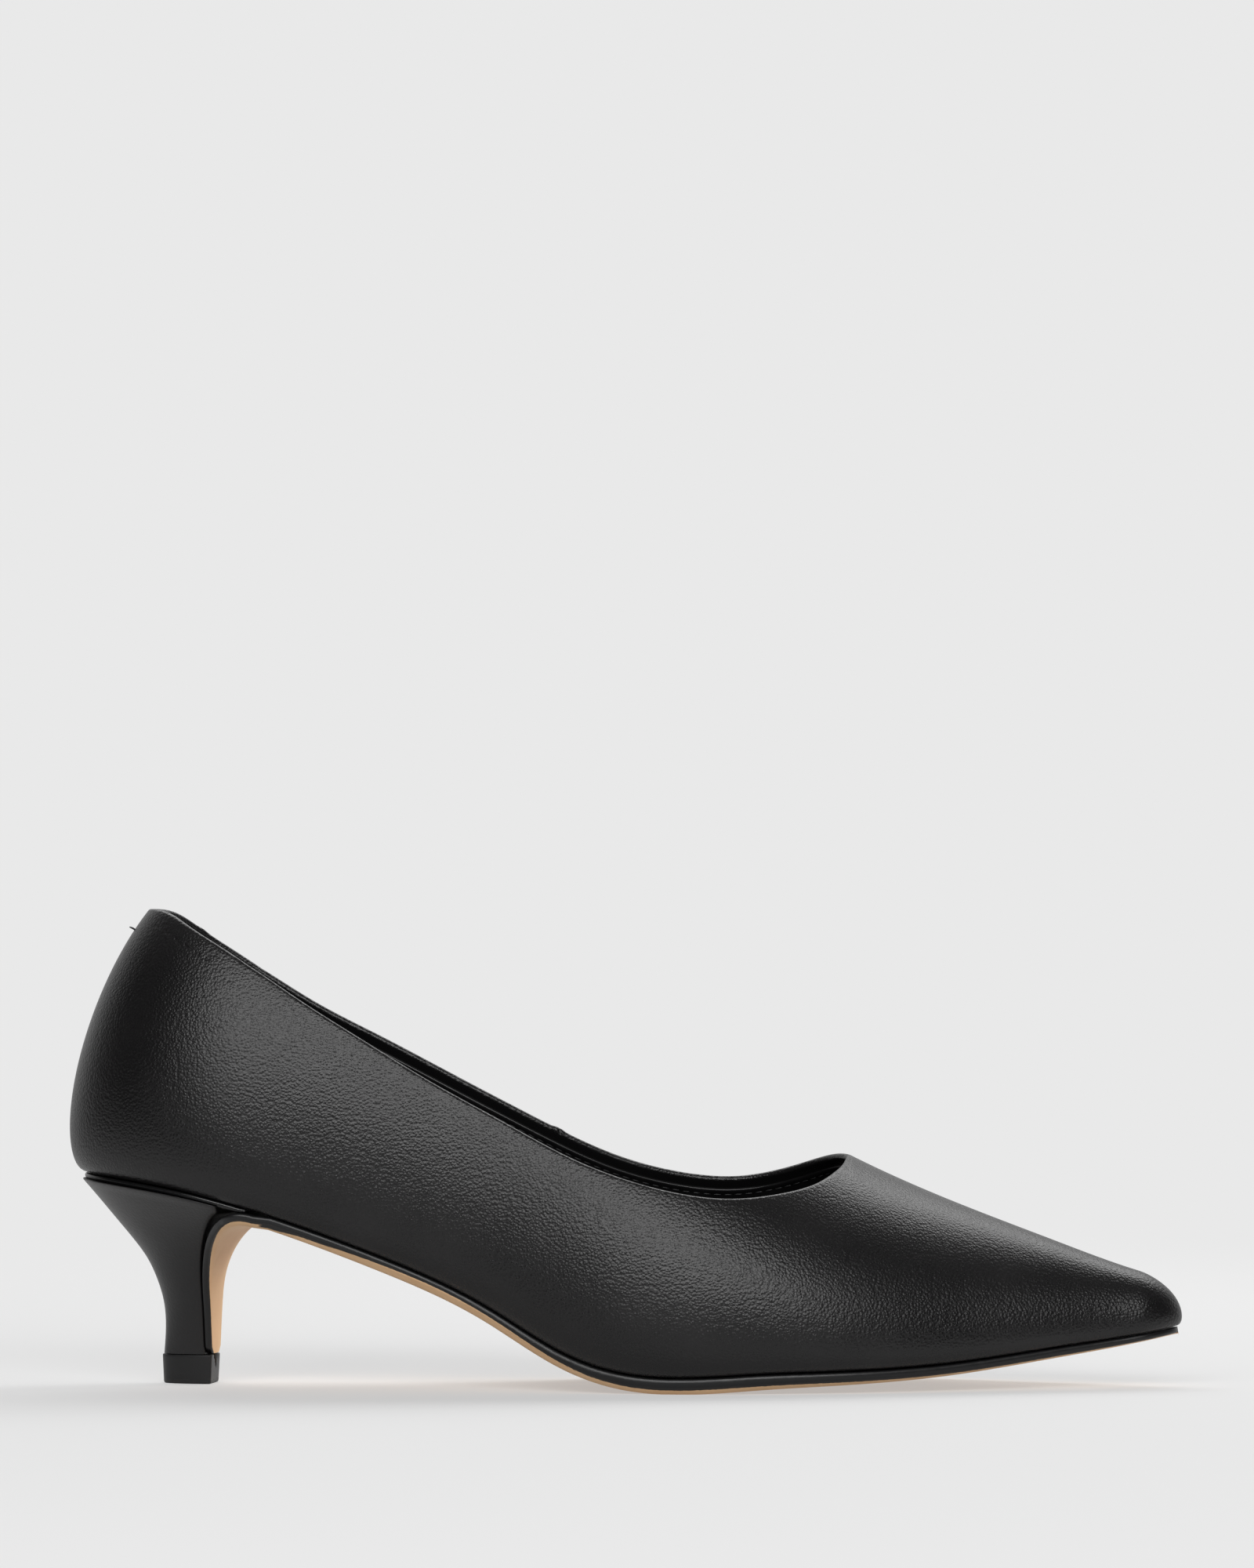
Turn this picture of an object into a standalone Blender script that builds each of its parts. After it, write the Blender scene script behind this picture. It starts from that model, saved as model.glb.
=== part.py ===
"""Right kitten heel pump: upper, insole, outsole, heel seat, heel and top piece, built on one last.

+X runs from heel to toe, +Y to the inner (medial) side, +Z up. The origin is the middle of the
top piece's bottom face, on the floor. Sizes are in millimetres and the meshes in metres.
"""
import math
from collections import namedtuple

import bmesh
import bpy
import numpy as np
from mathutils.geometry import interpolate_bezier

MM = 0.001

# Driving sizes of the last
LAST_LENGTH = 246.1      # feather line, heel back to toe tip
HEEL_OVERHANG = 24.0     # feather line's back, behind the middle of the top piece
BALL_WIDTH = 70.4        # feather line, outer joint to inner joint
HEEL_HEIGHT = 47.8       # feather line over the floor at the back
BALL_HEIGHT = 3.7        # feather line over the floor at the ball
TOE_SPRING = 13.6        # feather line over the floor at the toe tip
ARCH_LIFT = 2.7          # inner feather line over the outer one in the arch
INSTEP_DEPTH = 47.4      # feather line to the ridge at the throat
WALL_BULGE = 3.6         # how far the walls stand out past the feather line
HEEL_ROUND = 38.0        # length of the rounded heel end, seen from above
TOE_ROUND = 8.6          # length of the rounded toe end, seen from above
THROAT_PLACE = 172.8     # throat's middle, in front of the feather line's back

# Driving sizes of the pieces
UPPER_WALL = 1.7         # leather, backing and lining together
GAP = 0.3                # clearance between pieces that touch
SOLE_EDGE = 1.8          # black edge of the sole, straight part
SOLE_LIP = 0.6           # how far the sole's edge stands out past the feather line
SOLE_BEVEL = 1.6         # width of the bevel under the edge
BEVEL_DROP = 0.55        # share of the belly that the bevel falls through
SOLE_BELLY = 2.4         # how far the underside's middle hangs below the edge in the arch
SEAT_THICK = 1.1         # heel seat
SEAT_LIP = 0.2           # how far the seat's edge stands out past the feather line
SEAT_FRONT = 14.5        # front end of the heel seat
INSOLE_THICK = 2.3
HEEL_YAW = math.radians(5.5)   # the heel's axis turns to the outer side
HEEL_LIP = 0.8           # how far the covered heel's top stands out past the feather line
HEEL_FRONT = 10.5        # front end of the heel under the seat
BREAST_TOP = 19.0        # where the sole leaves the feather line for the breast
BREAST_BEND = 21.0       # height where the breast flap has become straight
BREAST_FOOT = 4.2        # the heel's front face, in front of the top piece's middle
BREAST_REACH = 0.6       # how far the breast's curve follows the arch, as a share of its run
BREAST_DROP = 0.7        # how far it follows the heel's front face, as a share of its height
FLAP_BELLY = 0.15        # the flap's belly at its foot, as a share of SOLE_BELLY
FLAP_EDGE = 1.5          # thickness of the breast flap at its edge
TIP_HEIGHT = 6.6         # top piece
TIP_WIDTH = 10.4
TIP_BACK = 6.5           # top piece, middle to back
TIP_TAPER = 0.3          # how much narrower each side of its foot is
TIP_CHAMFER = 0.4
NOTCH_WIDTH = 3.2        # V notch in the top piece's front face
NOTCH_DEPTH = 2.0
NOTCH_HEIGHT = 3.2
NOTCH_OVER = 1.0         # how far the notch's cutter stands out past the top piece

# Sections of the last. Station is the share of LAST_LENGTH from the back. Outer, ridge and inner
# are shares of BALL_WIDTH, rise of HEEL_HEIGHT over the ball, spring of TOE_SPRING over the ball,
# arch of ARCH_LIFT, depth of INSTEP_DEPTH, both bulges of WALL_BULGE. Fullness is the exponent of
# the section's arch: 2 is an ellipse, more is squarer.
Section = namedtuple(
    "Section",
    "station outer ridge inner rise spring arch depth bulge_outer bulge_inner fullness")
SECTIONS = [
    Section(0.000, 0.320, 0.030, 0.380, 1.000, 0.000, 0.00, 1.600, 1.20, 1.20, 1.85),
    Section(0.100, 0.349, 0.003, 0.352, 0.917, 0.000, 0.00, 1.620, 1.05, 1.05, 2.1),
    Section(0.180, 0.369, -0.020, 0.321, 0.794, 0.000, 0.20, 1.640, 1.05, 1.11, 2.25),
    Section(0.280, 0.381, -0.028, 0.264, 0.594, 0.000, 0.80, 1.688, 1.17, 1.53, 2.3),
    Section(0.380, 0.412, -0.014, 0.250, 0.336, 0.000, 1.00, 1.709, 1.22, 1.67, 2.4),
    Section(0.445, 0.474, 0.011, 0.295, 0.125, 0.000, 0.65, 1.667, 1.17, 1.50, 2.55),
    Section(0.495, 0.520, 0.034, 0.349, 0.030, 0.000, 0.20, 1.574, 1.11, 1.33, 2.65),
    Section(0.550, 0.543, 0.057, 0.412, 0.000, 0.010, 0.03, 1.414, 1.06, 1.17, 2.7),
    Section(0.625, 0.528, 0.071, 0.457, 0.000, 0.090, 0.00, 1.196, 1.00, 1.06, 2.5),
    Section(0.700, 0.472, 0.074, 0.443, 0.000, 0.144, 0.00, 0.982, 0.94, 0.94, 2.3),
    Section(0.795, 0.349, 0.054, 0.349, 0.000, 0.278, 0.00, 0.735, 0.72, 0.72, 2.2),
    Section(0.890, 0.213, 0.023, 0.210, 0.000, 0.588, 0.00, 0.483, 0.50, 0.50, 2.35),
    Section(0.955, 0.128, 0.009, 0.125, 0.000, 0.814, 0.00, 0.314, 0.36, 0.36, 3.0),
    Section(1.000, 0.088, 0.003, 0.085, 0.000, 1.000, 0.00, 0.207, 0.33, 0.33, 3.6),
]

# The collar's edge. Behind is the share of the way from the throat back to the heel, outer and
# inner are the edge's height as a share of the last's depth there.
CollarPoint = namedtuple("CollarPoint", "behind outer inner")
COLLAR = [
    CollarPoint(0.000, 1.000, 1.000),
    CollarPoint(0.013, 0.912, 0.978),
    CollarPoint(0.035, 0.828, 0.921),
    CollarPoint(0.070, 0.744, 0.826),
    CollarPoint(0.149, 0.637, 0.682),
    CollarPoint(0.228, 0.595, 0.621),
    CollarPoint(0.306, 0.566, 0.582),
    CollarPoint(0.385, 0.541, 0.551),
    CollarPoint(0.472, 0.521, 0.524),
    CollarPoint(0.541, 0.531, 0.533),
    CollarPoint(0.629, 0.578, 0.570),
    CollarPoint(0.714, 0.638, 0.617),
    CollarPoint(0.780, 0.694, 0.671),
    CollarPoint(0.890, 0.760, 0.749),
    CollarPoint(0.970, 0.795, 0.793),
    CollarPoint(1.000, 0.793, 0.793),
]

# The sole's section. Edge is the black edge as a share of SOLE_EDGE, belly of SOLE_BELLY, lip of
# SOLE_LIP.
SoleSection = namedtuple("SoleSection", "station edge belly lip")
SOLE_SECTIONS = [
    SoleSection(0.00, 0.84, 1.00, 1.00),
    SoleSection(0.18, 0.84, 1.00, 1.00),
    SoleSection(0.30, 0.97, 1.00, 1.00),
    SoleSection(0.42, 1.03, 0.95, 1.00),
    SoleSection(0.50, 1.20, 1.00, 1.00),
    SoleSection(0.60, 1.20, 1.00, 1.00),
    SoleSection(0.70, 1.10, 0.75, 0.95),
    SoleSection(0.82, 1.00, 0.50, 0.75),
    SoleSection(0.91, 0.88, 0.38, 0.45),
    SoleSection(1.00, 0.64, 0.15, 0.10),
]

# The heel's outline from its foot (rise 0) to the seat (rise 1). Back and half are the shares of
# the way from the top piece's size to the seat's size.
HeelLevel = namedtuple("HeelLevel", "rise back half")
HEEL_LEVELS = [
    HeelLevel(0.00, -0.020, 0.000),
    HeelLevel(0.16, -0.041, 0.055),
    HeelLevel(0.32, -0.015, 0.115),
    HeelLevel(0.47, 0.083, 0.195),
    HeelLevel(0.58, 0.202, 0.275),
    HeelLevel(0.69, 0.387, 0.400),
    HeelLevel(0.80, 0.599, 0.570),
    HeelLevel(0.90, 0.794, 0.770),
    HeelLevel(1.00, 1.000, 1.000),
]

OUTER = -1
INNER = 1
ROWS = 12                # faces up the upper's wall
RIB_SAMPLES = 240        # points that a rib is measured with
FOOT_CROWDING = 1.15     # above 1, a rib's points stand closer together near its foot
UNDERSIDE = (-0.72, -0.36, 0.0, 0.36, 0.72)    # points across the sole's underside
PLATE_ACROSS = (0, 0.33, 0.67, 1)              # points across the insole and the heel seat


class Spline:
    """Natural cubic spline through a table's rows."""

    def __init__(self, knots, rows):
        self.knots = np.asarray(knots, float)
        self.rows = np.asarray(rows, float)
        count = len(self.knots)
        step = np.diff(self.knots)
        slope = np.diff(self.rows, axis=0) / step[:, None]
        matrix = np.eye(count)
        right = np.zeros_like(self.rows)
        for i in range(1, count - 1):
            matrix[i, i - 1:i + 2] = step[i - 1], 2 * (step[i - 1] + step[i]), step[i]
            right[i] = 6 * (slope[i] - slope[i - 1])
        self.bend = np.linalg.solve(matrix, right)

    def at(self, place):
        """Table values at each place; past the ends the curve goes on straight."""
        place = np.atleast_1d(np.asarray(place, float))
        inside = np.clip(place, self.knots[0], self.knots[-1])
        i = np.clip(np.searchsorted(self.knots, inside) - 1, 0, len(self.knots) - 2)
        h = self.knots[i + 1] - self.knots[i]
        a = ((self.knots[i + 1] - inside) / h)[:, None]
        b = 1 - a
        h = h[:, None]
        low, high = self.rows[i], self.rows[i + 1]
        bend_low, bend_high = self.bend[i], self.bend[i + 1]
        value = a * low + b * high + ((a ** 3 - a) * bend_low + (b ** 3 - b) * bend_high) * h ** 2 / 6
        slope = (high - low) / h - (3 * a ** 2 - 1) * h * bend_low / 6 + (3 * b ** 2 - 1) * h * bend_high / 6
        return value + slope * (place - inside)[:, None]


def table_spline(table):
    """Spline through a table whose first column is the place."""
    rows = np.array(table, float)
    return Spline(rows[:, 0], rows[:, 1:])


LAST_SPLINE = table_spline(SECTIONS)
SOLE_SPLINE = table_spline(SOLE_SECTIONS)
HEEL_SPLINE = table_spline(HEEL_LEVELS)
# The collar turns round the throat, so its table is followed along the root of the distance
COLLAR_SPLINE = Spline([math.sqrt(point.behind) for point in COLLAR],
                       [(point.outer, point.inner) for point in COLLAR])

BACK_X = -HEEL_OVERHANG
TIP_X = BACK_X + LAST_LENGTH
HEEL_PIVOT = BACK_X + HEEL_ROUND
TOE_PIVOT = TIP_X - TOE_ROUND
THROAT_X = BACK_X + THROAT_PLACE


def station(x):
    """Share of the last's length at x."""
    return (np.asarray(x, float) - BACK_X) / LAST_LENGTH


def section(x):
    """The last's section at x, in millimetres."""
    share = Section(None, *LAST_SPLINE.at(station(x)).T)
    feather = (BALL_HEIGHT + (HEEL_HEIGHT - BALL_HEIGHT) * share.rise
               + (TOE_SPRING - BALL_HEIGHT) * share.spring)
    return {
        "ridge": share.ridge * BALL_WIDTH,
        OUTER: (share.outer + share.ridge) * BALL_WIDTH,
        INNER: (share.inner - share.ridge) * BALL_WIDTH,
        "feather": feather,
        "arch": ARCH_LIFT * share.arch,
        "crown": feather + INSTEP_DEPTH * share.depth,
        "bulge": {OUTER: WALL_BULGE * share.bulge_outer, INNER: WALL_BULGE * share.bulge_inner},
        "fullness": share.fullness,
    }


def feather_height(x, side):
    """Height of the feather line on one side."""
    here = section(x)
    return here["feather"] + (here["arch"] if side == INNER else 0)


def rib(side, base, turn, angle):
    """Points of one rib of the last, from the feather line (angle 0) up to the ridge (pi / 2).

    A rib lies in the plane x = base. In the rounded ends it swings out by turn, the sine of its
    swing: -1 is the middle of the back and 1 the toe tip.
    """
    plane = section(base)
    run = np.cos(angle)
    height = np.sin(angle) ** (2 / plane["fullness"])
    swell = np.sin(math.pi * height ** 0.45)
    mean_bulge = (plane["bulge"][OUTER] + plane["bulge"][INNER]) / 2
    if turn < 0:
        x = HEEL_PIVOT + turn * (HEEL_ROUND * run + mean_bulge * swell)
    elif turn > 0:
        x = TOE_PIVOT + turn * (TOE_ROUND * run + mean_bulge * swell)
    else:
        x = np.full_like(angle, base)
    here = section(x)
    spread = math.sqrt(max(0.0, 1 - turn ** 2))
    y = here["ridge"] + side * (here[side] * run + here["bulge"][side] * swell) * spread
    foot = here["feather"] + (here["arch"] * spread if side == INNER else 0)
    z = foot + (here["crown"] - foot) * height
    return np.stack([x, y, z], axis=1)


def feather_edge(side, base, turn, out):
    """Point that lies out past the feather line, at its height."""
    if turn < 0:
        x = HEEL_PIVOT + turn * (HEEL_ROUND + out)
    elif turn > 0:
        x = TOE_PIVOT + turn * (TOE_ROUND + out)
    else:
        x = base
    here = section(x)
    spread = math.sqrt(max(0.0, 1 - turn ** 2))
    y = here["ridge"][0] + side * (here[side][0] + out) * spread
    lift = here["arch"][0] * spread if side == INNER else 0
    return np.array([x, y, here["feather"][0] + lift])


def collar_angle(side, base):
    """Angle at which the collar cuts the rib at base; in front of the throat the rib is whole."""
    if base >= THROAT_X:
        return math.pi / 2
    behind = (THROAT_X - base) / THROAT_PLACE
    outer, inner = COLLAR_SPLINE.at(math.sqrt(behind))[0]
    height = min(1.0, outer if side == OUTER else inner)
    return math.asin(height ** (section(base)["fullness"][0] / 2))


def even_rows(points, count):
    """The same curve with points evenly spaced, closer together near its foot."""
    length = np.concatenate([[0], np.cumsum(np.linalg.norm(np.diff(points, axis=0), axis=1))])
    share = np.linspace(0, 1, count + 1) ** FOOT_CROWDING
    return np.stack([np.interp(share * length[-1], length, points[:, i]) for i in range(3)], axis=1)


def heel_ribs(count):
    """(base, turn) of the ribs round the back, from the middle to the heel's widest part."""
    swings = [math.pi / 2 * (1 - i / count) for i in range(count)]
    return [(HEEL_PIVOT - HEEL_ROUND * math.sin(swing), -math.sin(swing)) for swing in swings]


def toe_ribs(count):
    """(base, turn) of the ribs round the toe, ending at its tip."""
    swings = [math.pi / 2 * i / count for i in range(1, count + 1)]
    return [(TOE_PIVOT + TOE_ROUND * math.sin(swing), math.sin(swing)) for swing in swings]


def straight_ribs(start, end, count, power=1.0):
    """(base, turn) of ribs between start and end, end left out, closer together near end."""
    return [(end - (end - start) * (1 - i / count) ** power, 0.0) for i in range(count)]


def new_object(name, mesh_bm, look, smooth_angle=40):
    """Object from a bmesh in millimetres, with its material and smooth shading."""
    bmesh.ops.remove_doubles(mesh_bm, verts=mesh_bm.verts, dist=0.004)
    for vert in mesh_bm.verts:
        vert.co *= MM
    mesh = bpy.data.meshes.new(name)
    mesh_bm.to_mesh(mesh)
    mesh_bm.free()
    obj = bpy.data.objects.new(name, mesh)
    bpy.context.scene.collection.objects.link(obj)
    obj.data.materials.append(look)
    mesh.shade_smooth()
    mesh.set_sharp_from_angle(angle=math.radians(smooth_angle))
    return obj


def add_grid(mesh_bm, grid, flip=False):
    """Faces between neighbouring points of a grid of rows."""
    verts = [[mesh_bm.verts.new(point) for point in row] for row in grid]
    for row, following in zip(verts, verts[1:]):
        for i in range(len(row) - 1):
            corners = [row[i], row[i + 1], following[i + 1], following[i]]
            mesh_bm.faces.new(corners[::-1] if flip else corners)
    return verts


def add_loft(mesh_bm, rings):
    """Closed skin through rings of points, with both ends filled."""
    verts = [[mesh_bm.verts.new(point) for point in ring] for ring in rings]
    for ring, following in zip(verts, verts[1:]):
        count = len(ring)
        for i in range(count):
            j = (i + 1) % count
            mesh_bm.faces.new([ring[i], ring[j], following[j], following[i]])
    mesh_bm.faces.new(verts[0][::-1])
    mesh_bm.faces.new(verts[-1])


def tidy_solid(mesh_bm):
    """Merge the points that a rounded end brings together and turn all faces outwards."""
    bmesh.ops.remove_doubles(mesh_bm, verts=mesh_bm.verts, dist=0.004)
    bmesh.ops.dissolve_degenerate(mesh_bm, edges=mesh_bm.edges, dist=0.002)
    bmesh.ops.recalc_face_normals(mesh_bm, faces=mesh_bm.faces)


def material(name, color, roughness, metallic=0.0):
    """Principled material."""
    look = bpy.data.materials.new(name)
    look.use_nodes = True
    shader = look.node_tree.nodes["Principled BSDF"]
    shader.inputs["Base Color"].default_value = (*color, 1.0)
    shader.inputs["Roughness"].default_value = roughness
    shader.inputs["Metallic"].default_value = metallic
    return look


def upper():
    """Hollow shell on the last, open at the collar and underneath."""
    collar_end = THROAT_X - 0.15 * THROAT_PLACE
    stations = (heel_ribs(9)
                + straight_ribs(HEEL_PIVOT, collar_end, 12)
                + straight_ribs(collar_end, THROAT_X, 8, power=2.2)
                + [(base, 0.0) for base in THROAT_X + (TOE_PIVOT - THROAT_X) * np.linspace(0, 1, 13) ** 1.15]
                + toe_ribs(5))
    mesh_bm = bmesh.new()
    for side in (OUTER, INNER):
        grid = []
        for base, turn in stations:
            top = collar_angle(side, base)
            angle = top * np.linspace(0, 1, RIB_SAMPLES) ** 2.2
            grid.append(even_rows(rib(side, base, turn, angle), ROWS))
        add_grid(mesh_bm, grid, flip=side == OUTER)
    shell = new_object("upper", mesh_bm, material("upper_leather", (0.016, 0.016, 0.018), 0.42))
    wall = shell.modifiers.new("wall", "SOLIDIFY")
    wall.thickness = UPPER_WALL * MM
    wall.offset = -1
    wall.use_even_offset = True
    wall.use_rim = True
    return shell


def breast_path(count=14):
    """The line on which sole and heel meet, from the arch back and down the heel's front face.

    Points are (along the heel's axis, height); the first lies on the feather line.
    """
    top = feather_height(BREAST_TOP, OUTER)[0] - GAP
    slope = (feather_height(BREAST_TOP + 1, OUTER)[0] - feather_height(BREAST_TOP - 1, OUTER)[0]) / 2
    reach = BREAST_REACH * (BREAST_TOP - BREAST_FOOT)
    drop = BREAST_DROP * (top - BREAST_BEND)
    curve = interpolate_bezier(
        (BREAST_TOP, top, 0), (BREAST_TOP - reach, top - reach * slope, 0),
        (BREAST_FOOT, BREAST_BEND + drop, 0), (BREAST_FOOT, BREAST_BEND, 0), count)
    foot = TIP_HEIGHT + GAP
    straight = [(BREAST_FOOT, BREAST_BEND + (foot - BREAST_BEND) * i / 4) for i in range(1, 5)]
    return np.array([(point.x, point.y) for point in curve] + straight)


def path_height(x):
    """Height of the breast path's upper part at x."""
    path = breast_path(40)
    order = np.argsort(path[:, 0], kind="stable")
    return np.interp(x, path[order, 0], path[order, 1])


def seat_bottom(x):
    """Underside of the heel seat."""
    top = feather_height(x, OUTER) - GAP
    return np.maximum(top - SEAT_THICK, path_height(x) + GAP)


def heel_point(along, across, height):
    """Point in the heel's own turned axes."""
    return np.array([along * math.cos(HEEL_YAW) + across * math.sin(HEEL_YAW),
                     across * math.cos(HEEL_YAW) - along * math.sin(HEEL_YAW), height])


def heel_size(rise):
    """(back, half width) of the heel's outline at a share of its height."""
    seat_back = HEEL_OVERHANG + HEEL_LIP
    middle = section(HEEL_FRONT)
    seat_half = (middle[OUTER][0] + middle[INNER][0]) / 2 + HEEL_LIP
    back_share, half_share = HEEL_SPLINE.at(rise)[0]
    return (TIP_BACK + (seat_back - TIP_BACK) * back_share,
            TIP_WIDTH / 2 + (seat_half - TIP_WIDTH / 2) * half_share)


def outsole():
    """Sole from the toe through the arch and down the heel's front face."""
    rings = []
    straight = [BREAST_TOP + (TOE_PIVOT - BREAST_TOP) * i / 26 for i in range(1, 27)]
    forward = [(base, 0.0) for base in straight] + toe_ribs(5)
    for base, turn in forward[::-1]:
        edge_share, belly_share, lip_share = SOLE_SPLINE.at(station(base))[0]
        slope = (feather_height(base + 1, OUTER)[0] - feather_height(base - 1, OUTER)[0]) / 2
        down = np.array([slope, 0, -1]) / math.hypot(slope, 1)
        lip = SOLE_LIP * lip_share
        tops = [feather_edge(side, base, turn, lip) - (0, 0, GAP) for side in (OUTER, INNER)]
        bevels = [feather_edge(side, base, turn, lip - SOLE_BEVEL) - (0, 0, GAP)
                  for side in (OUTER, INNER)]
        rings.append(sole_ring(tops, bevels, down, SOLE_EDGE * edge_share, SOLE_BELLY * belly_share))
    path = breast_path()
    tangent = np.gradient(path, axis=0)
    tangent /= np.linalg.norm(tangent, axis=1)[:, None]
    seat_z = seat_bottom(HEEL_FRONT)[0] - GAP
    start = [feather_edge(side, BREAST_TOP, 0.0, SOLE_LIP) for side in (OUTER, INNER)]
    start_half = (start[1][1] - start[0][1]) / 2
    for (along, height), (run, fall) in zip(path, tangent):
        rise = min(1.0, (height - TIP_HEIGHT) / (seat_z - TIP_HEIGHT))
        half = heel_size(rise)[1]
        blend = min(1.0, max(0.0, (along - HEEL_FRONT) / (BREAST_TOP - HEEL_FRONT)))
        half += (start_half - half) * blend
        down = heel_point(-fall, 0, 0) + (0, 0, run)
        shrink = (half - SOLE_BEVEL) / half
        tops = [heel_point(along, side * half, height) for side in (OUTER, INNER)]
        bevels = [heel_point(along, side * half * shrink, height) for side in (OUTER, INNER)]
        belly = SOLE_BELLY * (FLAP_BELLY + (1 - FLAP_BELLY) * min(1.0, max(0.0, rise)) ** 2)
        rings.append(sole_ring(tops, bevels, down, FLAP_EDGE, belly))
    mesh_bm = bmesh.new()
    add_loft(mesh_bm, rings)
    tidy_solid(mesh_bm)
    return new_object("outsole", mesh_bm, material("sole_leather", (0.46, 0.31, 0.18), 0.55))


def sole_ring(tops, bevels, down, edge, belly):
    """One closed section of the sole: flat top, black edge, bevel and rounded underside."""
    lower = [top + down * edge for top in tops]
    under = [bevel + down * (edge + belly * BEVEL_DROP) for bevel in bevels]
    middle = (tops[0] + tops[1]) / 2
    ring = [tops[0], (tops[0] + middle) / 2, middle, (tops[1] + middle) / 2, tops[1], lower[1], under[1]]
    for share in UNDERSIDE[::-1]:
        point = bevels[0] + (bevels[1] - bevels[0]) * (share + 1) / 2
        ring.append(point + down * (edge + belly * (BEVEL_DROP + (1 - BEVEL_DROP) * (1 - share ** 2))))
    ring += [under[0], lower[0]]
    ring = np.array(ring)
    ring[:, 2] = np.maximum(ring[:, 2], 0)
    return ring


def level_plate(name, stations, out, top_lift, thickness_at, look):
    """Plate between the feather lines: a ring of top and bottom points at each station."""
    rings = []
    for base, turn in stations:
        ends = [feather_edge(side, base, turn, out) for side in (OUTER, INNER)]
        line = [ends[0] + (ends[1] - ends[0]) * share for share in PLATE_ACROSS]
        top = [point + (0, 0, top_lift) for point in line]
        bottom = [point - (0, 0, thickness_at(point[0]) - top_lift) for point in line]
        rings.append(top + bottom[::-1])
    mesh_bm = bmesh.new()
    add_loft(mesh_bm, rings)
    tidy_solid(mesh_bm)
    return new_object(name, mesh_bm, look)


def heel_seat():
    """Seat piece between the upper and the heel, thinning out towards the sole."""
    stations = heel_ribs(10) + [(HEEL_PIVOT, 0.0)]
    stations = [(base, turn) for base, turn in stations if base < SEAT_FRONT] + [(SEAT_FRONT, 0.0)]

    def thickness(x):
        return feather_height(x, OUTER)[0] - GAP - seat_bottom(x)[0]

    return level_plate("heel_seat", stations, SEAT_LIP, -GAP, thickness,
                       material("seat_edge", (0.012, 0.012, 0.013), 0.2))


def insole():
    """Board and sock inside the upper, lying on the sole and the heel seat."""
    stations = heel_ribs(8) + straight_ribs(HEEL_PIVOT, TOE_PIVOT, 24) + [(TOE_PIVOT, 0.0)] + toe_ribs(4)
    return level_plate("insole", stations, -(UPPER_WALL + GAP), INSOLE_THICK, lambda x: INSOLE_THICK,
                       material("sock_leather", (0.03, 0.03, 0.032), 0.5))


def d_ring(back, front, half, height_at, count=22, front_points=5):
    """D-shaped outline in the heel's axes: a half ellipse at the back and a straight front."""
    ring = []
    for i in range(count + 1):
        swing = math.pi * i / count - math.pi / 2
        ring.append((front - (front + back) * math.cos(swing), half * math.sin(swing)))
    for i in range(1, front_points):
        ring.append((front, half * (1 - 2 * i / front_points)))
    return [heel_point(along, across, height_at(along, across)) for along, across in ring]


def heel():
    """Covered heel block, from the top piece up to the seat."""
    path = breast_path(40)[::-1]
    foot = TIP_HEIGHT + GAP
    rings = []
    for i in range(19):
        rise = i / 18
        back, half = heel_size(rise)

        def height(along, across):
            x = heel_point(along, across, 0)[0]
            return foot + (seat_bottom(x)[0] - GAP - foot) * rise

        front_z = height(HEEL_FRONT, half) - GAP
        front = min(HEEL_FRONT, np.interp(front_z, path[:, 1], path[:, 0])) - GAP
        rings.append(d_ring(back, front, half, height))
    mesh_bm = bmesh.new()
    add_loft(mesh_bm, rings)
    tidy_solid(mesh_bm)
    return new_object("heel", mesh_bm, material("heel_cover", (0.02, 0.02, 0.022), 0.35))


def top_piece():
    """Lift under the heel, with a V notch in its front face."""
    front = BREAST_FOOT + FLAP_EDGE
    half = TIP_WIDTH / 2
    levels = [(0, TIP_TAPER + TIP_CHAMFER), (TIP_CHAMFER, TIP_TAPER), (TIP_HEIGHT, 0)]
    rings = [d_ring(TIP_BACK - inset, front - inset, half - inset, lambda a, b, z=z: z, count=18)
             for z, inset in levels]
    mesh_bm = bmesh.new()
    add_loft(mesh_bm, rings)
    tidy_solid(mesh_bm)
    piece = new_object("top_piece", mesh_bm, material("lift_plastic", (0.02, 0.02, 0.02), 0.45))
    notch_bm = bmesh.new()
    rings = []
    for height in (TIP_HEIGHT + NOTCH_OVER, TIP_HEIGHT - NOTCH_HEIGHT):
        share = 1 + (height - TIP_HEIGHT) / NOTCH_HEIGHT
        wide = NOTCH_WIDTH / 2 * share
        deep = NOTCH_DEPTH * share
        out = NOTCH_OVER
        flare = NOTCH_WIDTH / 2 * out / NOTCH_DEPTH
        rings.append([heel_point(along, across, height) for along, across in
                      ((front + out, -wide - flare), (front + out, wide + flare), (front - deep, 0))])
    add_loft(notch_bm, rings)
    tidy_solid(notch_bm)
    cutter = new_object("notch_cutter", notch_bm, material("cutter", (1, 0, 0), 0.5))
    cutter.hide_render = True
    cutter.display_type = "WIRE"
    cut = piece.modifiers.new("notch", "BOOLEAN")
    cut.operation = "DIFFERENCE"
    cut.object = cutter
    return piece


def build():
    """Clear the scene and build the shoe."""
    for old in list(bpy.data.objects):
        bpy.data.objects.remove(old)
    upper()
    insole()
    outsole()
    heel_seat()
    heel()
    top_piece()


build()
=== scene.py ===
"""Dressed model of a right kitten heel pump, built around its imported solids.

The upper, linings, sole, heel and lift follow the same last as the solids do, with the finer forms
that leather takes on it. +X runs from heel to toe, +Y to the inner side, +Z up. Sizes are given in
millimetres and the meshes are made in metres.
"""
from __future__ import annotations

import logging
import math
from dataclasses import dataclass, field
from enum import Enum
from typing import Any, NamedTuple, Sequence, Union

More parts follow.
